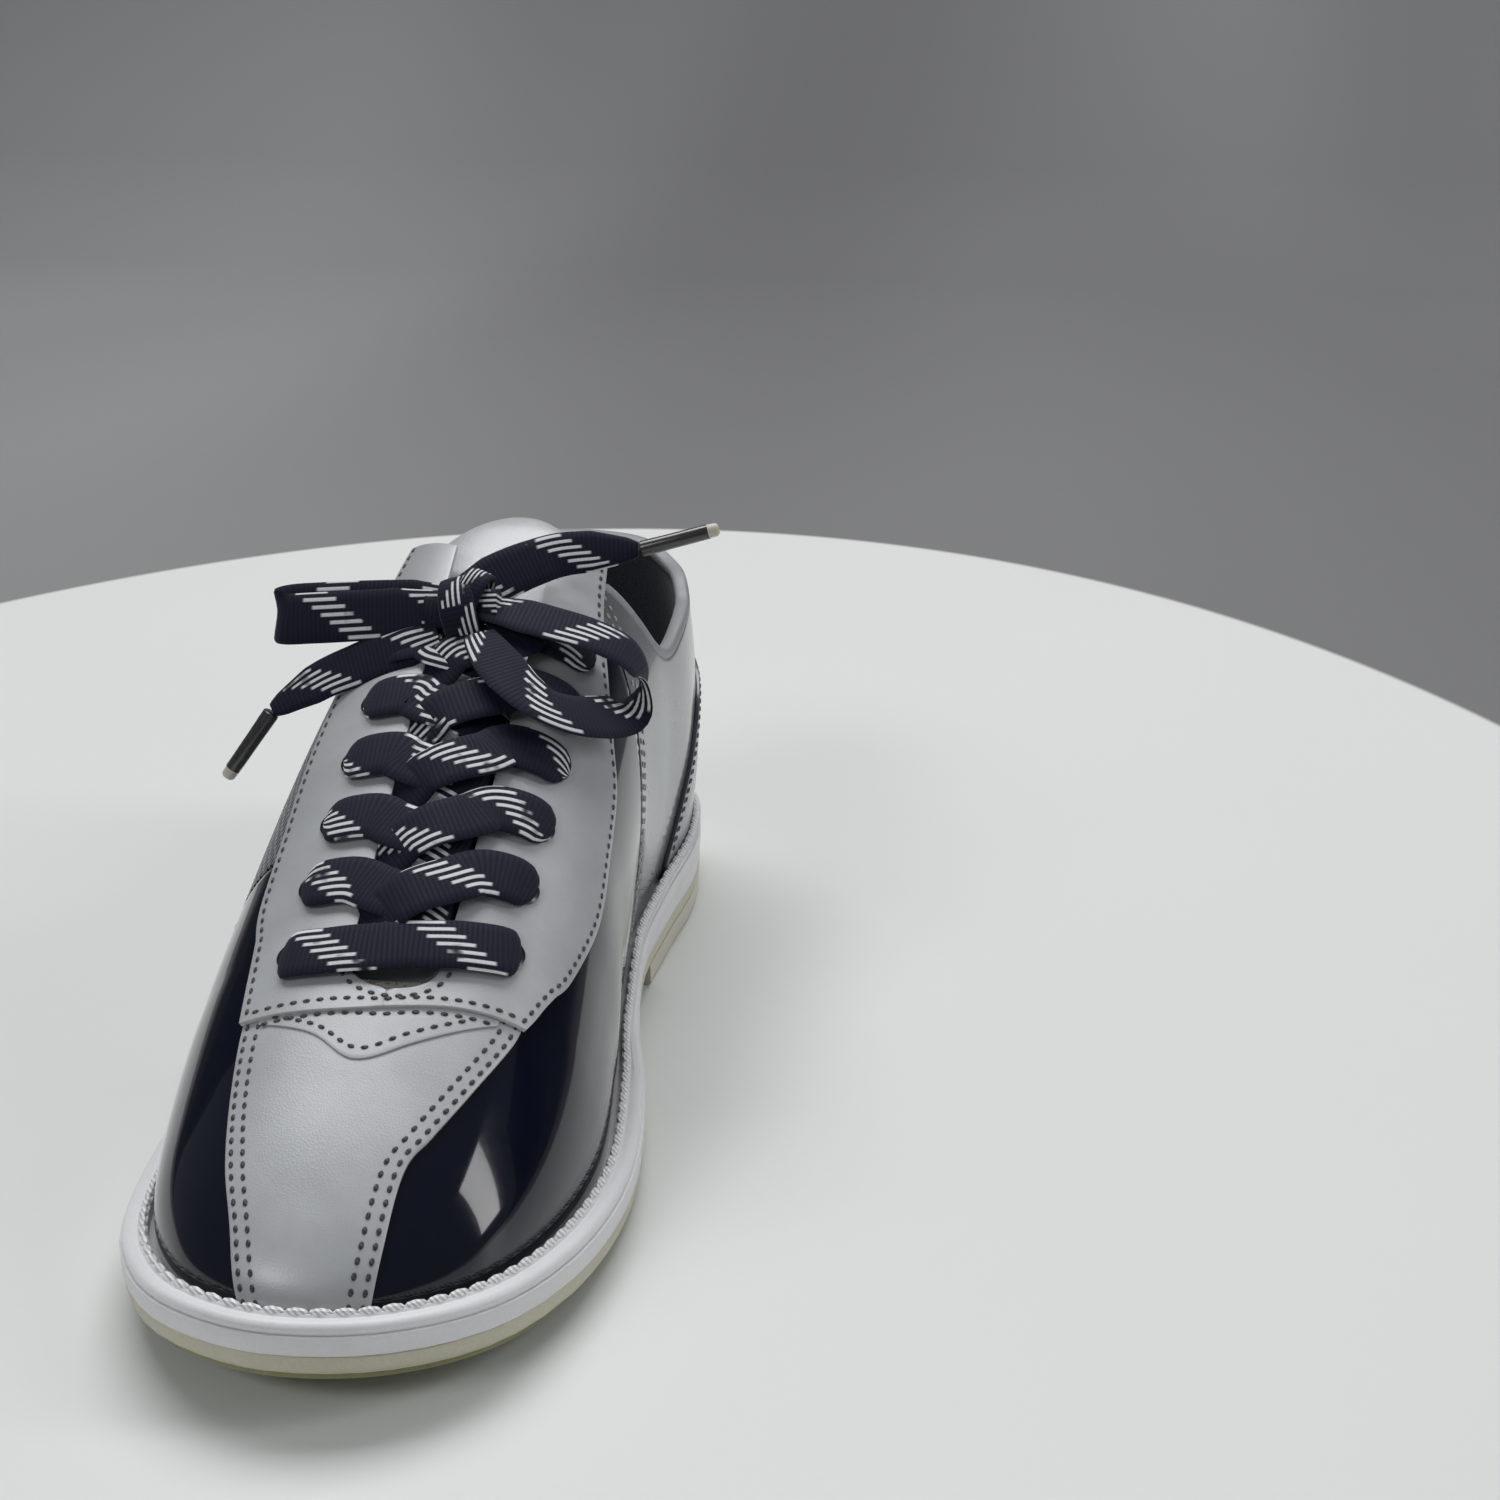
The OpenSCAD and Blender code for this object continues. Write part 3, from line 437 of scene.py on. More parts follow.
# ---------- meshes ----------
def mapped_grid(ns, nt, place, chart):
    """A grid whose points are put where place(s, t) says; chart(s, t) gives its UV map."""
    bm = bmesh.new()
    uv = bm.loops.layers.uv.new("UVMap")
    bmesh.ops.create_grid(bm, x_segments=ns, y_segments=nt, size=1)
    bm.verts.index_update()
    s = np.array([(v.co.x + 1) / 2 for v in bm.verts])
    t = np.array([(v.co.y + 1) / 2 for v in bm.verts])
    spots = place(s, t) * MM
    marks = np.column_stack(chart(s, t))
    for vert, spot in zip(bm.verts, spots):
        vert.co = spot
    for face in bm.faces:
        for loop in face.loops:
            loop[uv].uv = marks[loop.vert.index]
    return bm


def new_object(name, bm, material, sharp=40):
    mesh = bpy.data.meshes.new(name)
    bm.to_mesh(mesh)
    bm.free()
    mesh.shade_smooth()
    mesh.set_sharp_from_angle(angle=math.radians(sharp))
    for m in material if isinstance(material, (list, tuple)) else [material]:
        mesh.materials.append(m)
    piece = bpy.data.objects.new(name, mesh)
    bpy.context.scene.collection.objects.link(piece)
    return piece


def add(piece, slot, *nodes):
    """Puts a finished piece on the shoe's body."""
    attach(piece, BODY)
    if nodes:
        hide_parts(*nodes)
    return piece


def thicken(piece, thickness, bevel=0.3, segments=2):
    """Gives a sheet its thickness outwards, with softened edges."""
    solid = piece.modifiers.new("thickness", "SOLIDIFY")
    solid.thickness = thickness * MM
    solid.offset = 1
    solid.material_offset_rim = 1 if len(piece.data.materials) > 1 else 0
    if bevel:
        soft = piece.modifiers.new("edges", "BEVEL")
        soft.width = bevel * MM
        soft.segments = segments
        soft.limit_method = "ANGLE"
        soft.angle_limit = math.radians(50)
    return piece


def face_outwards(bm, out):
    """Turns a sheet so that its faces look the way out(centre) points."""
    bm.normal_update()
    bm.faces.ensure_lookup_table()
    total = sum(f.normal.dot(Vector(out(f.calc_center_median()))) for f in bm.faces)
    if total < 0:
        bmesh.ops.reverse_faces(bm, faces=bm.faces)


def away_from_inside(centre):
    """Outward direction for a panel of the upper, from the middle of the shoe's inside."""
    y = min(max(centre.y, TOE_Y * MM), HEEL_Y * MM)
    return Vector((centre.x - float(centre_x(y / MM)) * MM, centre.y - y, centre.z - 0.022))


def panel(name, a, b, ns, nt, lo, hi, material, bevel=0.3):
    """Leather panel between two borders of flat points, laid on the last from offset lo to hi."""
    marks = np.linspace(0, 1, 60)
    first, last = along(a, marks), along(b, marks)
    lengths = run_of(on_last((first + last) / 2))
    depths = np.linalg.norm(on_last(first) - on_last(last), axis=1)

    def place(s, t):
        return laid(lerp(along(a, s), along(b, s), t[:, None]), lo)

    bm = mapped_grid(ns, nt, place, lambda s, t: (np.interp(s, marks, lengths) * MM,
                                              t * np.interp(s, marks, depths) * MM))
    face_outwards(bm, away_from_inside)
    return thicken(new_object(name, bm, material), hi - lo, bevel)


def sole_sides(ring, rear):
    """The ring's left and right x at each y, with an optional rounded rear end."""
    low, high = int(ring[:, 1].argmin()), int(ring[:, 1].argmax())
    turned = np.roll(ring, -low, 0)
    cut = (high - low) % len(ring)
    halves = [turned[:cut + 1], np.vstack([turned[cut:], turned[:1]])[::-1]]
    halves.sort(key=lambda half: half[:, 0].mean())
    left, right = [(np.maximum.accumulate(h[:, 1]) + np.arange(len(h)) * 1e-7, h[:, 0]) for h in halves]
    y0, y1 = ring[low, 1], ring[high, 1] if rear is None else rear[0]

    def at(y):
        xl, xr = np.interp(y, *left), np.interp(y, *right)
        if rear is not None:
            end, radius = rear
            chord = np.sqrt(np.maximum(radius ** 2 - (y - end + radius) ** 2, 0))
            xl, xr = np.maximum(xl, -chord), np.minimum(xr, chord)
        return xl, xr

    return y0, y1, at


def sole_block(name, rows, material, across=20, length=64, rear=None, cut=None, hollow=False, cup=None):
    """Layer of the sole. Each row is [inset, height function], from the middle of the top, out
    over the side and back under; a hollow one is a ring whose last row meets its first."""
    bm = bmesh.new()
    bmesh.ops.create_grid(bm, x_segments=across, y_segments=length, size=1)
    top = list(bm.faces)
    ring = [e for e in bm.edges if e.is_boundary]
    if hollow:
        bmesh.ops.delete(bm, geom=top, context="FACES_ONLY")
        inner = [e for e in bm.edges if e not in set(ring)]
        bmesh.ops.delete(bm, geom=inner, context="EDGES")
        bmesh.ops.delete(bm, geom=[v for v in bm.verts if not v.link_edges], context="VERTS")
    for _ in rows[1:]:
        grown = bmesh.ops.extrude_edge_only(bm, edges=ring)["geom"]
        moved = [g for g in grown if isinstance(g, bmesh.types.BMVert)]
        bmesh.ops.translate(bm, verts=moved, vec=(0, 0, 1))
        ring = [g for g in grown if isinstance(g, bmesh.types.BMEdge) and g.is_boundary]
    if not hollow:
        copied = bmesh.ops.duplicate(bm, geom=top)["geom"]
        under = [g for g in copied if isinstance(g, bmesh.types.BMVert)]
        bmesh.ops.translate(bm, verts=under, vec=(0, 0, len(rows) - 1))
        bmesh.ops.remove_doubles(bm, verts=bm.verts, dist=1e-4)
    u, v, row = np.array([vert.co for vert in bm.verts]).T
    row = np.rint(row).astype(int)
    x_disc = u * np.sqrt(1 - v ** 2 / 2)
    y_disc = v * np.sqrt(1 - u ** 2 / 2)
    share = np.clip(x_disc / np.sqrt(np.maximum(1 - y_disc ** 2, 1e-9)), -1, 1)
    spots = np.zeros((len(u), 3))
    for k, (distance, height) in enumerate(rows):
        y0, y1, at = sole_sides(inset(distance), rear(distance) if rear else None)
        of = row == k
        y = lerp(y0, y1, (y_disc[of] + 1) / 2)
        left, right = at(y)
        x = lerp(left, right, (share[of] + 1) / 2)
        z = height(y)
        if cup and k == 0:
            z = z - cup(share[of], y)
        spots[of] = np.column_stack([x, y, z])
    for vert, spot in zip(bm.verts, spots):
        vert.co = spot * MM
    if hollow:
        bmesh.ops.remove_doubles(bm, verts=bm.verts, dist=1e-6)
    bmesh.ops.recalc_face_normals(bm, faces=bm.faces)
    if cut is not None:
        geom = bm.verts[:] + bm.edges[:] + bm.faces[:]
        line = bmesh.ops.bisect_plane(bm, geom=geom, plane_co=(0, cut * MM, 0), plane_no=(0, -1, 0),
                                      clear_outer=True, dist=1e-6)["geom_cut"]
        bmesh.ops.holes_fill(bm, edges=[g for g in line if isinstance(g, bmesh.types.BMEdge)], sides=0)
        bmesh.ops.recalc_face_normals(bm, faces=bm.faces)
    return new_object(name, bm, material, sharp=35)


def layer(name, look_of, node, rows, slot=None, **shape):
    """One layer of the sole, finished and put on the shoe."""
    return add(sole_block(name, rows, finish(look_of), **shape), slot or look_of, node)


def leather(name, node, looks, a, b, ns, nt, off, bevel=0.3):
    """One panel of the upper, finished and put on the shoe; looks are its face and its cut edge."""
    add(panel(name, a, b, ns, nt, *off, [finish(part) for part in looks], bevel), looks[0], node)


def woven(name, bm, *nodes):
    return add(new_object(name, bm, finish("lace_weave"), sharp=80), "lace_weave", *nodes)


def uv_mesh():
    bm = bmesh.new()
    bm.loops.layers.uv.new("UVMap")
    return bm


def ribbon(bm, centres, sideways, normals, widths, thickness, start=0.0, around=12):
    """Adds one flat woven lace to bm, swept along its centres. UV is [across, length in metres]."""
    n = len(centres)
    run = run_of(centres)
    strip = bmesh.new()
    uv = strip.loops.layers.uv.new("UVMap")
    bmesh.ops.create_grid(strip, x_segments=around, y_segments=n - 1, size=1)
    strip.verts.index_update()
    s = np.array([(v.co.x + 1) / 2 for v in strip.verts])
    j = np.rint([(v.co.y + 1) / 2 * (n - 1) for v in strip.verts]).astype(int)
    turn = 2 * np.pi * s
    x = np.sign(np.cos(turn)) * np.abs(np.cos(turn)) ** 0.75
    z = np.sign(np.sin(turn)) * np.abs(np.sin(turn)) ** 0.55
    widths = np.broadcast_to(np.asarray(widths, float), (n,))
    thick = np.broadcast_to(np.asarray(thickness, float), (n,))
    spots = (centres[j] + sideways[j] * (widths[j] / 2 * x)[:, None]
             + normals[j] * (thick[j] / 2 * z)[:, None]) * MM
    for vert, spot in zip(strip.verts, spots):
        vert.co = spot
    for face in strip.faces:
        for loop in face.loops:
            k = loop.vert.index
            loop[uv].uv = (x[k] / 2 + 0.5, (run[j[k]] + start) * MM)
    bmesh.ops.remove_doubles(strip, verts=strip.verts, dist=2e-6)
    bmesh.ops.holes_fill(strip, edges=strip.edges, sides=0)
    bmesh.ops.recalc_face_normals(strip, faces=strip.faces)
    mesh = bpy.data.meshes.new("strip")
    strip.to_mesh(mesh)
    strip.free()
    bm.from_mesh(mesh)
    bpy.data.meshes.remove(mesh)
    return run[-1]


def ribbon_frame(centres, hint):
    """Sideways and normal directions of a ribbon whose face looks along hint."""
    tangents = unit(np.gradient(centres, axis=0))
    hint = np.broadcast_to(np.asarray(hint, float), centres.shape)
    normals = unit(hint - tangents * (hint * tangents).sum(1)[:, None])
    return np.cross(tangents, normals), normals


def stitch_row(bm, flats, off, pitch, length, width, height, points=None, normals=None):
    """Adds stitches of one row along a line of flat points, or along given points."""
    if points is None:
        points, normals = laid(flats, off), out_of(flats)
    run = run_of(points)
    count = max(1, int(run[-1] / pitch))
    at = (np.arange(count) + 0.5) * run[-1] / count

    def read(values, shift=0.0):
        return np.column_stack([np.interp(at + shift, run, values[:, i]) for i in range(3)])

    forward = unit(read(points, 0.4) - read(points, -0.4))
    across = unit(np.cross(unit(read(normals)), forward))
    halves = np.array([length, width, height]) / 2
    for p, f, a, u in zip(read(points), forward, across, np.cross(forward, across)):
        turned = np.column_stack([np.column_stack([f, a, u]) * halves, p])
        matrix = Matrix([*turned.tolist(), [0, 0, 0, 1 / MM]]) * MM
        bmesh.ops.create_uvsphere(bm, u_segments=6, v_segments=4, radius=1,
                                  matrix=matrix @ Matrix.Rotation(math.pi / 2, 4, "Y"))


# ---------- materials ----------
class Finish:
    """One node material around a Principled shader; keyword values are set on its sockets."""

    def __init__(self, name, **values):
        self.material = bpy.data.materials.new(name)
        self.material.use_nodes = True
        self.nodes = self.material.node_tree.nodes
        self.links = self.material.node_tree.links
        self.shader = self.nodes["Principled BSDF"]
        for socket, value in values.items():
            self.shader.inputs[socket.replace("_", " ")].default_value = value
        self.bumped = None

    def node(self, kind, settings=None, **inputs):
        made = self.nodes.new("ShaderNode" + kind)
        for key, value in (settings or {}).items():
            setattr(made, key, value)
        for key, value in inputs.items():
            socket = made.inputs[int(key[2:]) if key.startswith("in") else key.replace("_", " ")]
            if isinstance(value, bpy.types.NodeSocket):
                self.links.new(value, socket)
            else:
                socket.default_value = value
        return made

    def coords(self, scale=(1, 1, 1), turn=(0, 0, 0), source="Object"):
        spots = self.node("TexCoord").outputs[source]
        return self.node("Mapping", Vector=spots, Scale=scale, Rotation=turn).outputs[0]

    def math(self, operation, a, b=0.0, c=0.0):
        return self.node("Math", {"operation": operation}, in0=a, in1=b, in2=c).outputs[0]

    def blend(self, share, first, second):
        mixed = self.node("Mix", {"data_type": "RGBA"}, in0=share, in6=first, in7=second)
        return mixed.outputs[2]

    def band(self, value, low, high):
        return self.node("MapRange", {"interpolation_type": "SMOOTHSTEP"}, Value=value,
                         From_Min=low, From_Max=high).outputs[0]

    def noise(self, scale, detail=3, rough=0.5, coords=None):
        return self.node("TexNoise", Vector=coords or self.coords(), Scale=scale, Detail=detail,
                         Roughness=rough).outputs[0]

    def cells(self, scale, coords=None, feature="DISTANCE_TO_EDGE"):
        return self.node("TexVoronoi", {"feature": feature}, Vector=coords or self.coords(),
                         Scale=scale).outputs["Distance"]

    def bump(self, height, depth, strength=1.0):
        """Adds a layer of relief, its depth in millimetres."""
        inputs = dict(Height=height, Strength=strength, Distance=depth * MM)
        if self.bumped:
            inputs["Normal"] = self.bumped
        self.bumped = self.node("Bump", **inputs).outputs[0]
        self.links.new(self.bumped, self.shader.inputs["Normal"])

    def colour(self, socket):
        self.links.new(socket, self.shader.inputs["Base Color"])

    def roughness(self, height, low, high):
        ranged = self.node("MapRange", Value=height, To_Min=low, To_Max=high).outputs[0]
        self.links.new(ranged, self.shader.inputs["Roughness"])


def shade(colour, factor=1):
    """RGBA of a colour, or of the named colour of the panel, made lighter or darker."""
    r, g, b = getattr(look(), colour) if isinstance(colour, str) else colour
    return (r * factor, g * factor, b * factor, 1)


def clouded(name, cloud, dark, pale, rough, relief, band=None, squash=(1, 1, 1), **values):
    """Surface in two cloudy tones. Each relief is depth, strength and the texture that makes it."""
    f = Finish(name, **values)
    tone = f.noise(*cloud, f.coords(squash))
    f.colour(f.blend(f.band(tone, *band) if band else tone, shade(*dark), shade(*pale)))
    f.roughness(tone, *rough)
    for depth, strength, kind, settings in relief:
        f.bump(getattr(f, kind)(*settings) if kind else tone, depth, strength)
    return f.material


def grained_leather(name, colour, rough, grain=900, depth=0.05, **values):
    """Coated leather: fine pebble grain, faint mottling and softer creases."""
    f = Finish(name, **values)
    pebbles = f.cells(grain)
    cloud = f.noise(60, 4, 0.6)
    creases = f.noise(14, 2, 0.4)
    tone = f.band(cloud, 0.3, 0.75)
    f.colour(f.blend(tone, shade(colour, 0.93), shade(colour, 1.05)))
    f.roughness(cloud, rough - 0.06, rough + 0.08)
    f.bump(f.band(pebbles, 0.0, 0.35), depth)
    f.bump(creases, 0.5, 0.25)
    return f.material


def punched_leather(name):
    """Grey leather of the outer quarter, punched all over with short slots in staggered rows."""
    f = Finish(name, Metallic=0.25, Specular_IOR_Level=0.5)
    plan = f.coords(source="UV", turn=(0, 0, math.radians(12)))
    slots = f.node("TexBrick", {"offset": 0.5}, Vector=plan, Color1=(0, 0, 0, 1), Color2=(0, 0, 0, 1),
                   Mortar=(1, 1, 1, 1), Scale=1.0, Mortar_Size=0.00042, Mortar_Smooth=0.25, Bias=0.0,
                   Brick_Width=0.0029, Row_Height=0.00145).outputs[0]
    ragged = f.math("ADD", slots, f.math("MULTIPLY", f.math("SUBTRACT", f.noise(900, 3, 0.6), 0.5), 0.7))
    open_share = f.band(ragged, 0.35, 0.65)
    cloud = f.noise(160, 3, 0.6)
    leather = f.blend(cloud, (0.24, 0.25, 0.265, 1), (0.34, 0.355, 0.37, 1))
    f.colour(f.blend(open_share, (0.035, 0.038, 0.05, 1), leather))
    f.roughness(open_share, 0.75, 0.33)
    f.bump(open_share, 0.22)
    return f.material


def moulded(name, colour, rough, speck=0.05, **values):
    """Moulded rubber: a faint speckle, a matte skin and slight scuffs scattered at random."""
    f = Finish(name, **values)
    speckle = f.noise(1400, 3, 0.7)
    cloud = f.noise(34, 3, 0.6)
    tone = f.blend(f.band(speckle, 0.35, 0.7), shade(colour, 1 - speck), shade(colour, 1 + speck / 2))
    f.colour(f.blend(f.band(cloud, 0.45, 0.8), tone, shade(colour, 0.92)))
    f.roughness(speckle, rough - 0.07, rough + 0.1)
    f.bump(speckle, 0.05, 0.5)
    f.bump(cloud, 0.25, 0.15)
    return f.material


def napped_suede(name):
    """Napped slide pad: short brushed fibres with lighter and darker strokes."""
    f = Finish(name, Sheen_Weight=0.35, Sheen_Roughness=0.5, Specular_IOR_Level=0.15)
    strokes = f.noise(500, 5, 0.75, f.coords((1, 0.35, 1), (0, 0, 0.5)))
    cloud = f.noise(38, 4, 0.6)
    base = f.blend(f.band(cloud, 0.3, 0.75), shade("suede", 0.86), shade("suede", 1.12))
    f.colour(f.blend(f.band(strokes, 0.35, 0.7), shade("suede", 0.8), base))
    f.roughness(strokes, 0.82, 0.97)
    f.bump(strokes, 0.22, 0.8)
    return f.material


def spun_thread(name, colour, shine=0.45):
    """Twisted sewing thread: slanted ply lines with painted shade darkening the grooves between plies, and a
    soft sheen.
    """
    f = Finish(name, Sheen_Weight=0.3, Sheen_Roughness=0.4)
    ply = f.node("TexWave", {"bands_direction": "DIAGONAL"}, Vector=f.coords(), Scale=420.0,
                 Distortion=1.5, Detail=1.0).outputs[1]
    # Painted shade: the thread is darker in the grooves between plies and lighter on their crowns.
    f.colour(f.blend(ply, shade(colour, 0.62), shade(colour, 1.12)))
    f.roughness(ply, shine + 0.2, shine)
    f.bump(ply, 0.08)
    return f.material


def flat_weave(name):
    """Flat woven lace: navy basket weave with groups of staggered pale floats along it."""
    f = Finish(name, Sheen_Weight=0.08, Sheen_Roughness=0.5, Specular_IOR_Level=0.25)
    uv = f.node("SeparateXYZ", Vector=f.node("TexCoord").outputs["UV"])
    across, run = uv.outputs[0], uv.outputs[1]
    lanes = f.math("MULTIPLY", across, 6.5)
    lane = f.math("FLOOR", lanes)
    in_lane = f.math("ABSOLUTE", f.math("SUBTRACT", f.math("FRACT", lanes), 0.5))
    shifted = f.math("SUBTRACT", run, f.math("MULTIPLY", lane, 0.0022))
    repeat = f.math("FRACT", f.math("MULTIPLY", shifted, 1 / 0.027))
    thin = f.band(in_lane, 0.30, 0.17)
    start = f.band(repeat, 0.04, 0.07)
    stop = f.band(repeat, 0.37, 0.34)
    floats = f.math("MULTIPLY", thin, f.math("MULTIPLY", start, stop))
    fade = f.band(f.noise(140, 2, 0.5), 0.30, 0.42)
    dash = f.math("MULTIPLY", floats, fade)
    warp = f.math("SINE", f.math("MULTIPLY", across, 2 * math.pi * 14))
    weft = f.math("SINE", f.math("ADD", f.math("MULTIPLY", run, 2 * math.pi / 0.0011),
                                 f.math("MULTIPLY", f.math("SIGN", warp), math.pi / 2)))
    weave = f.math("MULTIPLY_ADD", f.math("MULTIPLY", warp, weft), 0.5, 0.5)
    # Painted shade and light: the navy is darker where the weave dips under and lighter where it rides over.
    cloth = f.blend(weave, shade("lace", 0.85), shade("lace", 1.15))
    f.colour(f.blend(dash, cloth, (0.74, 0.75, 0.78, 1)))
    f.roughness(weave, 0.85, 0.62)
    f.bump(weave, 0.05)
    f.bump(dash, 0.18)
    return f.material


def knit_lining(name, colour):
    """Lining cloth: a fine spacer mesh."""
    f = Finish(name, Sheen_Weight=0.25, Sheen_Roughness=0.5, Specular_IOR_Level=0.2)
    holes = f.cells(900)
    fuzz = f.noise(1800, 3, 0.7)
    f.colour(f.blend(f.band(holes, 0.05, 0.4), shade(colour, 1.35), shade(colour, 0.7)))
    f.roughness(fuzz, 0.75, 0.95)
    f.bump(holes, 0.25)
    f.bump(fuzz, 0.06)
    return f.material


def fibrous(name, dark, pale, scale):
    """Pressed board, cork or foam: a coarse mix of two tones."""
    f = Finish(name, Specular_IOR_Level=0.2)
    bits = f.cells(scale, feature="F1")
    fuzz = f.noise(scale * 2, 4, 0.7)
    mixed = f.math("MULTIPLY_ADD", fuzz, 0.5, f.math("MULTIPLY", bits, 0.6))
    f.colour(f.blend(f.band(mixed, 0.2, 0.7), (*dark, 1), (*pale, 1)))
    f.roughness(fuzz, 0.8, 0.95)
    f.bump(mixed, 0.15)
    return f.material


CLOUD = (None, ())
RUBBER = dict(Subsurface_Weight=0.08, Subsurface_Scale=0.002)
# Maker and settings of every finish
FINISHES = {
    "silver_leather": (grained_leather, ("silver", 0.36, 1400, 0.012),
                       dict(Metallic=0.1, Specular_IOR_Level=0.55, Coat_Weight=0.12, Coat_Roughness=0.3)),
    "leather_edge": (clouded, ((2600, 4, 0.7), [(0.50, 0.50, 0.50)], [(0.74, 0.73, 0.72)], (0.6, 0.85),
                               [(0.12, 1, *CLOUD)]), {}),
    "navy_patent": (clouded, ((180, 3, 0.5), ["navy", 0.8], ["navy", 1.25], (0.07, 0.14),
                              [(0.55, 0.35, "noise", (26, 2, 0.45)), (0.02, 0.4, "noise", (420, 2, 0.5))]),
                    dict(Specular_IOR_Level=0.3, Coat_Weight=0.8, Coat_Roughness=0.03, Coat_IOR=1.4)),
    "quarter_silver": (clouded, ((90, 3, 0.5), [(0.20, 0.21, 0.22)], [(0.28, 0.29, 0.30)], (0.2, 0.32),
                                 [(0.6, 0.35, "noise", (22, 2, 0.4)), (0.015, 0.6, "cells", (1200,))]),
                       dict(Metallic=0.45, Specular_IOR_Level=0.5, Coat_Weight=0.7, Coat_Roughness=0.08,
                            Coat_IOR=1.45)),
    "quarter_speckled": (punched_leather, (), {}),
    "counter_slate": (clouded, ((120, 3, 0.5), [(0.045, 0.052, 0.066)], [(0.075, 0.083, 0.10)], (0.22, 0.36),
                                [(0.03, 0.6, "cells", (900,)), (0.5, 0.3, "noise", (20, 2, 0.4))]),
                      dict(Metallic=0.2, Specular_IOR_Level=0.55, Coat_Weight=0.6, Coat_Roughness=0.12)),
    "tongue_leather": (grained_leather, ((0.52, 0.53, 0.55), 0.38, 1000, 0.03),
                       dict(Metallic=0.12, Specular_IOR_Level=0.5)),
    "binding_grey": (grained_leather, ((0.30, 0.31, 0.33), 0.42, 1300, 0.03), {}),
    "welt_white": (moulded, ("welt", 0.42, 0.03), dict(Specular_IOR_Level=0.5)),
    "midsole_white": (moulded, ((0.78, 0.78, 0.79), 0.46, 0.03), {}),
    "outsole_rubber": (moulded, ("cream", 0.55, 0.06), RUBBER),
    "heel_rubber": (moulded, ((0.64, 0.615, 0.52), 0.5, 0.05), RUBBER),
    "suede_pad": (napped_suede, (), {}),
    "pad_thread": (spun_thread, ((0.68, 0.63, 0.45),), {}),
    "welt_thread": (spun_thread, ((0.86, 0.86, 0.87),), {}),
    "seam_thread": (spun_thread, ((0.045, 0.05, 0.06),), {}),
    "pale_thread": (spun_thread, ((0.42, 0.42, 0.44),), {}),
    "lace_weave": (flat_weave, (), {}),
    "aglet_film": (clouded, ((300, 3, 0.6), [(0.015, 0.015, 0.02)], [(0.05, 0.045, 0.045)], (0.2, 0.4),
                             [(0.05, 1, *CLOUD)]),
                   dict(Specular_IOR_Level=0.6, Coat_Weight=0.7, Coat_Roughness=0.12)),
    "aglet_tip": (clouded, ((500, 3, 0.6), [(0.50, 0.46, 0.38)], [(0.72, 0.68, 0.60)], (0.3, 0.5),
                            [(0.05, 1, *CLOUD)]), dict(Specular_IOR_Level=0.6)),
    "lining_dark": (knit_lining, ((0.028, 0.03, 0.038),), {}),
    "lining_light": (knit_lining, ((0.42, 0.41, 0.38),), {}),
    "footbed_fabric": (knit_lining, ((0.05, 0.055, 0.07),), {}),
    "eyelet_black": (clouded, ((700, 4, 0.6), [(0.012, 0.013, 0.017)], [(0.06, 0.06, 0.065)], (0.25, 0.45),
                               [(0.03, 1, *CLOUD)], (0.6, 0.85)),
                     dict(Metallic=0.4, Specular_IOR_Level=0.6, Coat_Weight=0.5, Coat_Roughness=0.15)),
    "shank_steel": (clouded, ((700, 3, 0.6), [(0.32, 0.33, 0.34)], [(0.52, 0.53, 0.54)], (0.3, 0.5),
                              [(0.03, 1, *CLOUD)], None, (1, 0.05, 1)), dict(Metallic=1.0)),
    "filler_cork": (fibrous, ((0.20, 0.12, 0.06), (0.42, 0.28, 0.15), 700), {}),
    "insole_fibre": (fibrous, ((0.42, 0.31, 0.18), (0.58, 0.46, 0.30), 1500), {}),
    "stiffener": (fibrous, ((0.20, 0.19, 0.16), (0.33, 0.31, 0.27), 1700), {}),
    "foam": (fibrous, ((0.62, 0.60, 0.54), (0.80, 0.78, 0.72), 1600), {}),
}
made_finishes = {}


def finish(name):
    if name not in made_finishes:
        maker, settings, values = FINISHES[name]
        made_finishes[name] = maker(name, *settings, **values)
    return made_finishes[name]


# ---------- properties ----------
def colour_property(name, description, default):
    return bpy.props.FloatVectorProperty(name=name, description=description, default=default,
                                         subtype="COLOR", size=3, min=0, max=1)


def length_property(name, description, default, low, high):
    return bpy.props.FloatProperty(name=name, description=description, default=default, min=low, max=high,
                                   unit="LENGTH")


class ShoeLook(bpy.types.PropertyGroup):
    """Colours and sizes of the shoe's finish"""
    silver: colour_property("Silver leather", "Colour of the toe strip and the facing", (0.47, 0.485, 0.51))
    navy: colour_property("Navy patent", "Colour under the lacquer of the vamp", (0.0015, 0.003, 0.012))
    welt: colour_property("Welt", "Colour of the welt", (0.80, 0.80, 0.82))
    cream: colour_property("Outsole", "Colour of the outsole", (0.60, 0.575, 0.46))
    suede: colour_property("Slide pad", "Colour of the suede slide pad", (0.30, 0.29, 0.135))
    lace: colour_property("Lace", "Colour of the woven lace", (0.0025, 0.004, 0.018))
    stitch_pitch: length_property("Stitch pitch", "Distance between upper stitches", 0.0029, 0.002, 0.006)
    stitch_length: length_property("Stitch length", "Length of one upper stitch", 0.0017, 0.001, 0.004)
    row_gap: length_property("Row gap", "Distance between the rows of a double seam", 0.0026, 0.0015, 0.005)


class StageLook(bpy.types.PropertyGroup):
    """Camera and lights"""
    lens: bpy.props.FloatProperty(name="Lens", description="Focal length of the camera in millimetres",
                                  default=50.45, min=20, max=200)
    key_power: bpy.props.FloatProperty(name="Key light", description="Power of the overhead softbox",
                                       default=26, min=1, max=500, unit="POWER")
    floor: colour_property("Floor", "Colour of the floor", (0.78, 0.80, 0.79))


def look():
    return bpy.context.scene.shoe_look


# ---------- camera and stage ----------
CAMERA_SPOT = (0.1450, -0.4499, 0.2675)
CAMERA_TURN = (9.55, 21.64, 0.07)
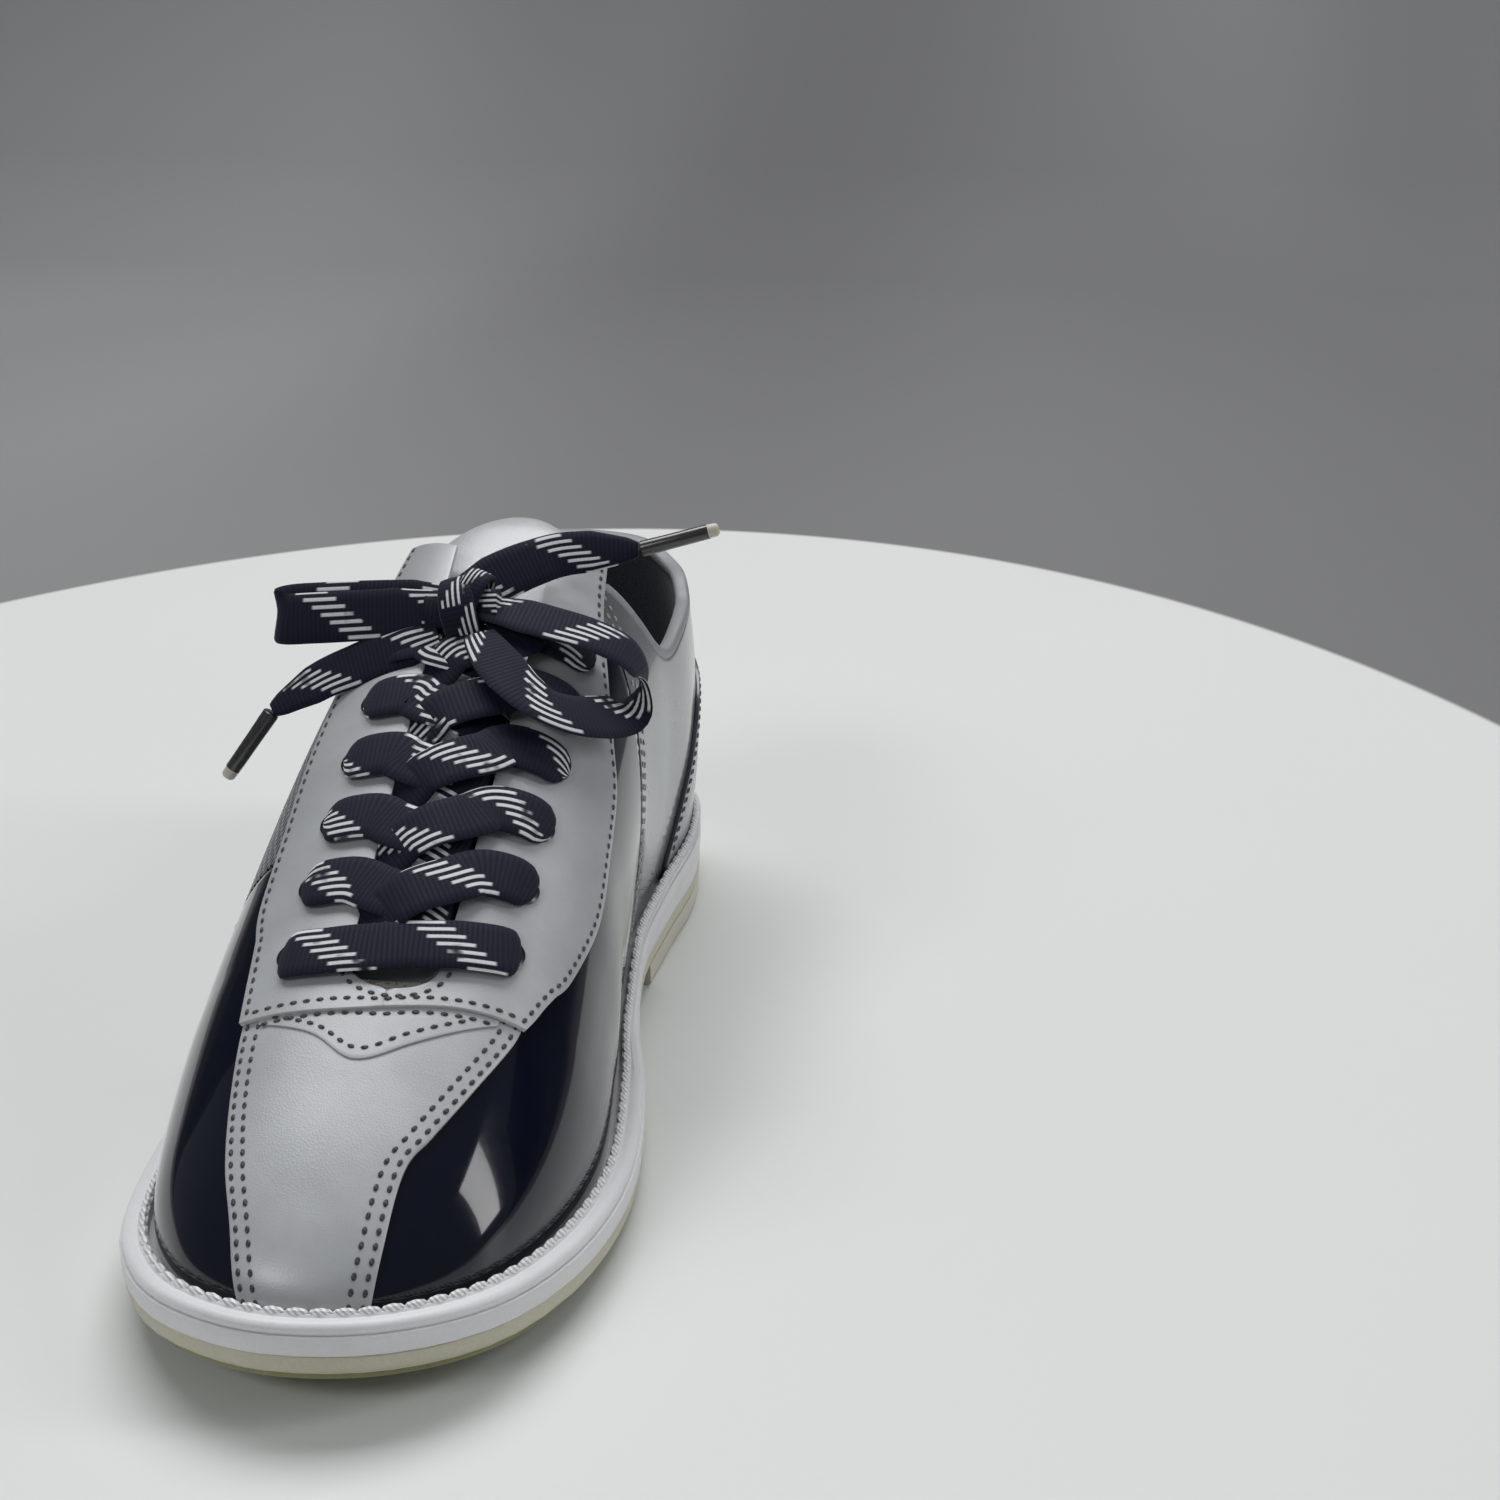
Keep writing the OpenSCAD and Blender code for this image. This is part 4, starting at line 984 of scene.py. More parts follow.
# Centre and half lengths of the oval table top; the grey drape starts at its edge
TABLE = (-0.02, -0.10)
TABLE_HALF = (0.41, 0.585)


# Length of the floor, of its flat part and the radius of the bend up into the backdrop
FLOOR_RUN, FLOOR_FLAT, FLOOR_BEND = 7, 3.2, 0.8


class SHOE_OT_stage(bpy.types.Operator):
    """Camera, floor, backdrop and soft lights"""
    bl_idname = "shoe.stage"
    bl_label = "Stage"

    def execute(self, context):
        stage = context.scene.stage_look
        camera = bpy.data.cameras.new("camera")
        camera.lens = stage.lens
        camera.sensor_width = 36
        holder = bpy.data.objects.new("camera", camera)
        azimuth, elevation, roll = (math.radians(a) for a in CAMERA_TURN)
        holder.matrix_world = (Matrix.Translation(CAMERA_SPOT) @ Matrix.Rotation(azimuth, 4, "Z")
                               @ Matrix.Rotation(math.pi / 2 - elevation, 4, "X")
                               @ Matrix.Rotation(roll, 4, "Z"))
        context.scene.collection.objects.link(holder)
        context.scene.camera = holder
        self.floor(stage)
        self.light("overhead_softbox", (-0.25, 0.75, 1.7), (0, 0, 0), (1.7, 0.9), stage.key_power)
        self.light("front_softbox", (-0.9, -1.5, 1.5), (0, 0, 0.05), (0.9, 0.5), stage.key_power * 0.35)
        self.light("side_softbox", (1.6, 0.2, 0.9), (0, 0, 0.05), (0.35, 1.3), stage.key_power * 0.30)
        world = bpy.data.worlds.new("room")
        world.use_nodes = True
        world.node_tree.nodes["Background"].inputs["Color"].default_value = (0.60, 0.63, 0.65, 1)
        world.node_tree.nodes["Background"].inputs["Strength"].default_value = 0.2
        context.scene.world = world
        context.scene.view_settings.view_transform = "Standard"
        return {"FINISHED"}

    def floor(self, stage):
        bm = bmesh.new()
        bmesh.ops.create_grid(bm, x_segments=1, y_segments=24, size=1)
        for vert in bm.verts:
            run = (vert.co.y + 1) / 2 * FLOOR_RUN
            bend = max(0.0, run - FLOOR_FLAT)
            angle = min(bend / FLOOR_BEND, math.pi / 2)
            rise = FLOOR_BEND * (1 - math.cos(angle)) + max(0.0, bend - FLOOR_BEND * math.pi / 2)
            vert.co = (vert.co.x * 5, -2 + min(run, FLOOR_FLAT) + FLOOR_BEND * math.sin(angle), rise)
        f = Finish("studio_floor", Specular_IOR_Level=0.3)
        cloud = f.noise(3, 2, 0.5)
        pale = f.blend(cloud, shade(stage.floor, 0.985), shade(stage.floor, 1.01))
        spot = f.node("VectorMath", {"operation": "DISTANCE"},
                      in0=f.coords((1 / TABLE_HALF[0], 1 / TABLE_HALF[1], 1)),
                      in1=(TABLE[0] / TABLE_HALF[0], TABLE[1] / TABLE_HALF[1], 0)).outputs["Value"]
        # Painted shade: darker and lighter grey streaks, as of folds, are painted into the colour of the
        # drape beyond the table's edge.
        painted_fold_shade = f.noise(1.1, 2, 0.4, f.coords((1, 0.3, 0.3)))
        drape = f.blend(f.band(painted_fold_shade, 0.35, 0.65), (0.20, 0.20, 0.205, 1), (0.33, 0.33, 0.335, 1))
        f.colour(f.blend(f.band(spot, 1.0, 1.008), pale, drape))
        f.roughness(cloud, 0.38, 0.48)
        piece = new_object("studio_floor", bm, f.material)

    def light(self, name, spot, aim, size, power):
        lamp = bpy.data.lights.new(name, "AREA")
        lamp.shape = "RECTANGLE"
        lamp.size, lamp.size_y = size
        lamp.energy = power
        holder = bpy.data.objects.new(name, lamp)
        way = Vector(aim) - Vector(spot)
        holder.matrix_world = Matrix.Translation(spot) @ way.to_track_quat("-Z", "Y").to_matrix().to_4x4()
        bpy.context.scene.collection.objects.link(holder)


# ---------- bow and lace ----------
def route_ribbon(name, route, hint, widths, count=60, thickness=LACE_T, start=0.0, upright=False):
    """One free stretch of lace along a route; returns the piece and its path in metres."""
    centres = line_of([placed(p) for p in route], count)
    sideways, normals = ribbon_frame(centres, hint)
    if upright:
        sideways, normals = normals, -sideways
    width = np.interp(np.linspace(0, 1, count), *np.array(widths).T)
    bm = uv_mesh()
    ribbon(bm, centres, sideways, normals, width, thickness, start)
    return new_object(name, bm, finish("lace_weave"), sharp=80), centres * MM


class SHOE_OT_bow(bpy.types.Operator):
    """The two loops, the two free ends with their aglets, and the knot"""
    bl_idname = "shoe.bow"
    bl_label = "Bow"

    def execute(self, context):
        full = [[0, HOLE_W], [0.12, LACE_W], [0.9, LACE_W], [1, 8]]
        loops = [("loop_medial", LOOP_MEDIAL, [-0.16, 0.92, 0.36], "lace_loop_medial"),
                 ("loop_lateral", LOOP_LATERAL, [0, 0.45, 0.9], "lace_loop_lateral")]
        for name, route, hint, node in loops:
            piece, path = route_ribbon(name, route, hint, full, start=len(name), count=84, upright=True)
            add(piece, "lace_weave", node)
        taper = [[0, 8], [0.2, LACE_W], [0.75, 10.5], [0.92, 6.5], [1, 3.6]]
        ends = [("end_medial", END_MEDIAL, [0.2, -0.85, 0.5], "lace_end_medial", AGLET_MEDIAL,
                 "aglet_medial"),
                ("end_lateral", END_LATERAL, [-0.2, -0.8, 0.6], "lace_end_lateral", AGLET_LATERAL,
                 "aglet_lateral")]
        for name, route, hint, node, way, aglet_node in ends:
            piece, path = route_ribbon(name, route, hint, taper, thickness=LACE_T + 0.2, start=7)
            add(piece, "lace_weave", node)
            aglet = self.aglet("aglet_of_" + name, placed(route[-1]), unit(way))
            add(aglet, "aglet_film", aglet_node)
        self.knot()
        return {"FINISHED"}

    def aglet(self, name, start, way):
        """Film sleeve rolled tight on the lace end, a little wider at the lace, with a bare tip."""
        profile = [[0.6, 1.55], [0.9, 1.95], [1.6, 2.0], [8, 1.9], [AGLET_LEN - 2.2, 1.85],
                   [AGLET_LEN - 1.8, 1.7], [AGLET_LEN - 0.2, 1.65], [AGLET_LEN + 0.4, 1.2]]
        bm = bmesh.new()
        points = [bm.verts.new((r * MM, 0, z * MM)) for z, r in profile]
        edges = [bm.edges.new(pair) for pair in zip(points, points[1:])]
        bmesh.ops.spin(bm, geom=points + edges, cent=(0, 0, 0), axis=(0, 0, 1), angle=2 * math.pi,
                       steps=24, use_merge=True)
        bmesh.ops.remove_doubles(bm, verts=bm.verts, dist=1e-6)
        bmesh.ops.holes_fill(bm, edges=bm.edges, sides=0)
        bmesh.ops.recalc_face_normals(bm, faces=bm.faces)
        for face in bm.faces:
            face.material_index = 1 if face.calc_center_median().z > (AGLET_LEN - 2) * MM else 0
        turn = Vector(way).to_track_quat("Z", "Y").to_matrix().to_4x4()
        bmesh.ops.transform(bm, matrix=Matrix.Translation(Vector(start) * MM) @ turn, verts=bm.verts)
        return new_object(name, bm, [finish("aglet_film"), finish("aglet_tip")])

    def knot(self):
        """The wrap round the crossed laces, and the two turns that come up into it."""
        centre = placed(KNOT)
        bm = uv_mesh()
        right = unit([1, 0.1, 0.25])
        front = np.array([0.1, -0.85, 0.5])
        front = unit(front - right * np.dot(front, right))
        up = np.cross(right, front)
        turn = np.linspace(0, 2 * np.pi, 49)
        self.wrap(bm, centre, front, up, (4.6, 7.4), 8.2 + 0.8 * np.cos(turn), LACE_T + 0.3, 3)
        cross_up = np.cross(unit(right + up * 0.7), front)
        self.wrap(bm, centre + right * 3 - up * 2.5, front, cross_up, (3.8, 6.2), 6.5, LACE_T, 14)
        core = line_of([centre - right * 9 - up * 1.5, centre - right * 3, centre + right * 3,
                        centre + right * 9 + up], 20)
        sideways, normals = ribbon_frame(core, front)
        ribbon(bm, core, sideways, normals, 8.5, 5.2, 20)
        woven("knot", bm, "lace_knot")

    def wrap(self, bm, centre, front, up, radii, width, thickness, start):
        """One oval turn of lace round the knot."""
        turn = np.linspace(0, 2 * np.pi, 49)
        ring = centre + np.outer(np.cos(turn), front) * radii[0] + np.outer(np.sin(turn), up) * radii[1]
        outward = unit(np.outer(np.cos(turn), front) * 1.2 + np.outer(np.sin(turn), up))
        sideways = np.cross(unit(np.gradient(ring, axis=0)), outward)
        ribbon(bm, ring, sideways, outward, width, thickness, start)


class SHOE_OT_lace(bpy.types.Operator):
    """The lace over the facing: the bottom bar and the crossed passes"""
    bl_idname = "shoe.lace"
    bl_label = "Lace"

    def execute(self, context):
        bm = uv_mesh()
        low = CAP_HI + 1
        mid = along_rows(EYELET_FIRST)
        ends = [EYELET_OUT + 1.8, EYELET_OUT - 1, EYELET_OUT * 0.7, EYELET_OUT * 0.35]
        spans = [-x for x in ends] + [0] + ends[::-1]
        bar = [[mid + x, EYELET_FIRST + ROW_SKEW * x / EYELET_OUT - BAR_SAG * (1 - (x / ends[0]) ** 2)]
               for x in spans]
        rise = [low - 0.5, low + 0.7, low + 0.9, low + 1.1]
        lobe = [[0, 2], [0.012, 6], [0.035, 9.5], [0.07, 12], [0.11, LACE_W]]
        self.strand(bm, bar, rise + [low + 1.2] + rise[::-1],
                    lobe + [[1 - t, w] for t, w in lobe[::-1]], 0, count=110)
        for k in range(1, EYELET_ROWS):
            self.crossing(bm, -1, k, low, 0.9, 5 * k)
            self.crossing(bm, 1, k, low, 0.9 + LACE_T + 0.3, 11 + 9 * k)
        woven("lace_passes", bm, "lace")
        return {"FINISHED"}

    def crossing(self, bm, side, k, low, rise, start):
        """From the hole above row k, over the facing, across the tongue and under the far facing."""
        y = EYELET_FIRST + k * EYELET_PITCH
        dx = EYELET_OUT - k * EYELET_LEAN
        drop, mid, skew = EYELET_PITCH, along_rows(y), side * ROW_SKEW
        plan = [[mid + side * (dx + 1.8), y + skew + 0.3], [mid + side * (dx - 2), y + skew],
                [mid + side * (dx - 7.5), y + skew * 0.75 - 0.06 * drop],
                [mid + side * 7, y + skew * 0.4 - 0.26 * drop], [mid, y - 0.50 * drop],
                [mid - side * 6, y - skew * 0.4 - 0.70 * drop],
                [mid - side * 11, y - skew * 0.8 - 0.84 * drop],
                [mid - side * (dx - 3), y - skew - 0.97 * drop]]
        lift = [low - 0.5, low + 0.7, low + 0.8, low + rise * 0.8, low + rise, low + rise * 0.1 - 1.2,
                -2.0, -2.3]
        widths = [[0, 2], [0.015, 6], [0.045, 9.5], [0.085, 12], [0.13, LACE_W], [0.9, LACE_W], [1, 9]]
        self.strand(bm, plan, lift, widths, start)

    def strand(self, bm, plan, lift, widths, start, count=72):
        t = np.linspace(0, 1, count)
        flats = along(flat(plan), t)
        lifts = along(np.column_stack([lift, lift]), t)[:, 0]
        centres = laid(flats, lifts)
        tangents = unit(np.gradient(centres, axis=0))
        normals = out_of(flats)
        normals = unit(normals - tangents * (normals * tangents).sum(1)[:, None])
        width = np.interp(t, *np.array(widths).T)
        ribbon(bm, centres, np.cross(tangents, normals), normals, width, LACE_T, start)


# ---------- sole ----------
class SHOE_OT_sole(bpy.types.Operator):
    """Slide pad, outsole, heel lift, wedge, midsole and welt"""
    bl_idname = "shoe.sole"
    bl_label = "Sole"

    def execute(self, context):
        self.pad()
        layer("outsole_cream", "outsole_rubber", "outsole",
              self.rounded(plate, lambda y: plate(y) + OUTSOLE_T - CLEAR, 0.4, 1.6, 0.5))
        layer("heel_block", "heel_rubber", "heel_lift",
              self.rounded(lambda y: y * 0, lambda y: plate(y) - CLEAR, 0.8, 1.2, 0.3),
              "outsole_rubber", length=96, cut=BREAST_Y)
        wedge_low = lambda y: plate(y) + OUTSOLE_T
        wedge_high = lambda y: wedge_low(y) + np.maximum(wedge_full(y) - CLEAR, 0.05)
        layer("heel_wedge_white", "midsole_white", "heel_wedge",
              self.rounded(wedge_low, wedge_high, 0.35, 0.05, 0.05), cut=WEDGE_FRONT_Y)
        mid_low = lambda y: wedge_low(y) + np.where(y < WEDGE_FRONT_Y, 0, wedge_full(y))
        layer("midsole_side", "midsole_white", "midsole", self.rounded(mid_low, seat, 0, 0.5, 0.25))
        self.welt()
        self.threads()
        return {"FINISHED"}

    def rounded(self, low, high, side, under, over):
        """Rows of a layer with its lower and upper edges rounded by the given radii."""
        rows = [[side + over, high], [side + over * 0.3, lambda y: high(y) - over * 0.3],
                [side, lambda y: high(y) - over], [side, lambda y: lerp(low(y), high(y), 0.5)]]
        for a in (0, 30, 60, 90):
            r = math.radians(a)
            rows.append([side + under * (1 - math.cos(r)),
                         lambda y, s=math.sin(r): low(y) + under * (1 - s)])
        return rows

    def pad(self):
        rear = lambda d: (PAD_REAR_Y - 0.15 * d, 1.2 * SHOE_W)
        fade = lambda y: 1 - ease((y - (PAD_REAR_Y - 12)) / 6)
        top = lambda y: spring(y) + PAD_T
        groove = lambda y: spring(y) + 0.75 * fade(y)
        rows = [[PAD_IN, top], [PAD_IN, lambda y: spring(y) + 0.5],
                [PAD_IN + 0.3, lambda y: spring(y) + 0.12], [PAD_IN + 0.8, spring],
                [GROOVE_IN - 1.1, spring], [GROOVE_IN - 0.7, groove], [GROOVE_IN + 0.7, groove],
                [GROOVE_IN + 1.1, spring], [GROOVE_IN + 3, spring]]
        layer("slide_pad_suede", "suede_pad", "slide_pad", rows, across=36, rear=rear)

    def welt(self):
        inner = lambda y: reveal(y) - OVER_HI - 0.3
        bead = lambda y: reveal(y) - OVER_HI - 2.0
        base = lambda y: seat(y) + CLEAR / 2
        top = lambda y: seat(y) + WELT_T
        rows = [[inner, base], [inner, lambda y: top(y) - 0.2], [lambda y: inner(y) - 0.3, top],
                [bead, top],
                [lambda y: bead(y) - 0.4, lambda y: top(y) - 0.5],
                [lambda y: bead(y) - 0.9, lambda y: top(y) - 0.45], [2.6, lambda y: top(y) - 0.3],
                [1.6, lambda y: top(y) - 0.55], [0.9, lambda y: top(y) - 1.1],
                [0.55, lambda y: top(y) - 1.9],
                [0.6, lambda y: base(y) + 0.25], [0.8, base], [3, base], [inner, base]]
        layer("welt_ring", "welt_white", "welt", rows, across=30, length=90, hollow=True)

    def threads(self):
        """The white rope stitch of the welt and the lockstitch in the pad's groove."""
        ring = inset(lambda y: reveal(y) - OVER_HI - 1.2)
        ring = np.vstack([ring, ring[:1]])
        line = np.column_stack([ring, seat(ring[:, 1]) + WELT_T + 0.15])
        up = np.tile([0.0, 0.0, 1.0], (len(line), 1))
        bm = bmesh.new()
        stitch_row(bm, None, 0, 4.5, 4.8, 2.0, 1.7, line, up)
        add(new_object("welt_stitches", bm, finish("welt_thread")), "welt_thread", "welt_stitching")
        ring = inset(GROOVE_IN)
        start = int(ring[:, 1].argmax())
        ring = np.roll(ring, -start, 0)
        ring = ring[ring[:, 1] < PAD_REAR_Y - 4]
        line = np.column_stack([ring, spring(ring[:, 1]) + 0.35])
        down = np.tile([0.0, 0.0, -1.0], (len(line), 1))
        bm = bmesh.new()
        stitch_row(bm, None, 0, 6.6, 5.6, 1.1, 0.9, line, down)
        add(new_object("pad_stitches", bm, finish("pad_thread")), "pad_thread", "pad_stitching")


# ---------- upper ----------
class SHOE_OT_upper(bpy.types.Operator):
    """Vamp, toe strip, facing, quarters, foxing and heel counter"""
    bl_idname = "shoe.upper"
    bl_label = "Upper"

    def execute(self, context):
        silver, patent = ["silver_leather", "leather_edge"], ["navy_patent"] * 2
        base, over = (BASE_LO, 0), (OVER_LO, OVER_HI)
        rear_in = [0.5, 18, 40, 66, 90, 112, 130, 150, 172]
        rear_out = [0.5, 16, 34, 52, 68, 84, 98, 108, 118]
        leather("vamp_inner_patent", "vamp_medial", patent, flat(VAMP_IN), foot_line(1, rear_in),
                90, 36, base)
        leather("vamp_outer_patent", "vamp_lateral", patent, flat(VAMP_OUT), foot_line(-1, rear_out),
                80, 36, base)
        leather("toe_strip_silver", "toe_strip", silver, flat(STRIP_OUT), flat(STRIP_IN), 60, 40, over)
        leather("throat_patch_silver", "throat_patch", silver[:1] * 2, flat(PATCH_TIP), flat(PATCH), 40, 12,
                (OVER_HI + 0.02, OVER_HI + 0.4), 0.15)
        self.facing([finish(part) for part in silver])
        foot = [174, 184, 194, 206, 218, 232, 247, 270, 300, BACK_G - 0.2]
        leather("quarter_inner_silver", "quarter_medial", ["quarter_silver"] * 2,
                np.vstack([flat([[16, 38], [15.5, 44]]), walks(1, TOPLINE)]),
                foot_line(1, foot), 80, 36, base)
        foot = [120, 144, 168, 186, 202, 216, 232, 247, 270, 300, BACK_G - 0.2]
        leather("quarter_outer_punched", "quarter_lateral", ["quarter_speckled"] * 2,
                np.vstack([flat([[-24, -36.5], [-21.5, 6], [-15.5, 43]]), walks(-1, TOPLINE)]),
                foot_line(-1, foot), 100, 36, base)
        leather("foxing_patent", "foxing_lateral", patent, walks(-1, FOXING), at_foot(FOXING), 60, 16, over)
        leather("heel_counter_slate", "heel_counter", ["counter_slate"] * 2, counter_line(COUNTER),
                counter_line([[g, 1] for g, _ in COUNTER]), 90, 18, over)
        return {"FINISHED"}

    def facing(self, silver):
        """One U of leather, open from the throat up."""
        for side, name, border in ((-1, "facing_outer_limb", FACING_LATERAL),
                                   (1, "facing_inner_limb", FACING_MEDIAL)):
            outer = flat(border)

            def place(s, t, side=side, outer=outer):
                share = s ** 1.4
                y = lerp(FACING_LOW[1][1], FACING_TOP - 5, share)
                round_part = np.clip((y - THROAT_Y) / THROAT_R, 0, 1)
                dx = GAP_HALF * np.sqrt(1 - (1 - round_part) ** 2)
                inner = flat(np.column_stack([along_rows(y) + side * dx, y]))
                return laid(lerp(along(outer, share), inner, t[:, None]), CAP_LO)

            bm = mapped_grid(110, 20, place, lambda s, t: (s * 0.14, t * 0.02))
            face_outwards(bm, away_from_inside)
            piece = thicken(new_object(name, bm, silver), CAP_HI - CAP_LO)
            add(piece, "silver_leather", *(["facing"] if side < 0 else []))


class SHOE_OT_seams(bpy.types.Operator):
    """Every row of stitching on the upper"""
    bl_idname = "shoe.seams"
    bl_label = "Seams"

    def execute(self, context):
        self.pitch = look().stitch_pitch / MM
        self.length = look().stitch_length / MM
        gap = look().row_gap / MM
        dark = bmesh.new()
        strip_out, strip_in = flat(STRIP_OUT), flat(STRIP_IN)
        for first, border, other in ((1.5, strip_out, strip_in), (1.5, strip_in, strip_out)):
            a, b = line_of(border), line_of(other)
            for row in (first, first + gap):
                self.row(dark, step_in(a, b, row)[4:-3], OVER_HI + 0.1)
        middle = np.linspace(FACING_LOW[1][1], FACING_TOP, 160)
        inner = flat(np.column_stack([along_rows(middle), middle]))
        for border in (FACING_LATERAL, FACING_MEDIAL):
            self.row(dark, step_in(line_of(flat(border), 160), inner, 1.6)[2:-2], CAP_HI + 0.1)
        x = np.linspace(-23.6, 26.6, 60)
        low_y = np.interp(x, *np.array(FACING_LOW).T)
        self.row(dark, flat(np.column_stack([x, low_y + 1.5])), CAP_HI + 0.1)
        self.row(dark, flat(np.column_stack([x, low_y - 1.5]))[2:-4], OVER_HI + 0.5)
        tip = line_of(flat([[-20, -81.4], [-10, -85.4], [-0.4, -90.6], [9, -85.6], [19, -78.6]]), 90)
        self.row(dark, tip, OVER_HI + 0.5)
        turn = np.linspace(math.pi, 2 * math.pi, 40)
        throat = flat(np.column_stack([along_rows(THROAT_Y) + (GAP_HALF + 1.8) * np.cos(turn),
                                       THROAT_Y + THROAT_R + (THROAT_R + 1.8) * np.sin(turn)]))
        self.row(dark, throat, CAP_HI + 0.1)
        foxing = line_of(walks(-1, FOXING))
        lower = line_of(at_foot(FOXING))
        counter = line_of(counter_line(COUNTER), 200)
        counter_low = line_of(counter_line([[g, 1] for g, _ in COUNTER]), 200)
        for row in (1.5, 1.5 + gap):
            self.row(dark, step_in(foxing, lower, row)[3:-3], OVER_HI + 0.1)
            self.row(dark, step_in(counter, counter_low, row)[4:-4], OVER_HI + 0.1)
        add(new_object("seams_dark", dark, finish("seam_thread")), "pad_thread")
        pale = bmesh.new()
        seam_in = line_of(np.vstack([flat([[15.5, 40]]), walks(1, [[173, 1]])]), 80)
        for shift in (1.4, 1.4 + gap):
            self.row(pale, seam_in[:-6] + [0, shift], 0.12)
        turn = np.linspace(0, math.pi, 90)
        edge = tongue_flat(24, -84, 57, 0.78 * np.sign(np.cos(turn)) * np.abs(np.cos(turn)) ** 0.5,
                           0.74 + 0.20 * np.sin(turn) ** 0.5)
        self.row(pale, edge, TONGUE_HI - 0.25)
        for side in (-1, 1):
            for angle in (1.6, 4.8):
                self.row(pale, walks(side, [[BACK_G - angle, w] for w in np.linspace(0.56, 0.70, 30)]), 0.1)
        add(new_object("seams_pale", pale, finish("pale_thread")), "pad_thread")
        return {"FINISHED"}

    def row(self, bm, flats, off):
        stitch_row(bm, flats, off, self.pitch, self.length, 1.05, 0.5)


# ---------- inside ----------
def tongue_flat(wide, y0, y1, x, v):
    """Flat points of a tongue layer; x runs across from -1 to 1 and v up from 0 to 1."""
    top = np.clip((v - 0.86) / 0.14, 0, 1)
    half = wide * lerp(0.62, 1, v) * np.sqrt(1 - 0.72 * top ** 2.2)
    return flat(np.column_stack([half * x, lerp(y0, y1, v) + 6 * top * (1 - x ** 2)]))


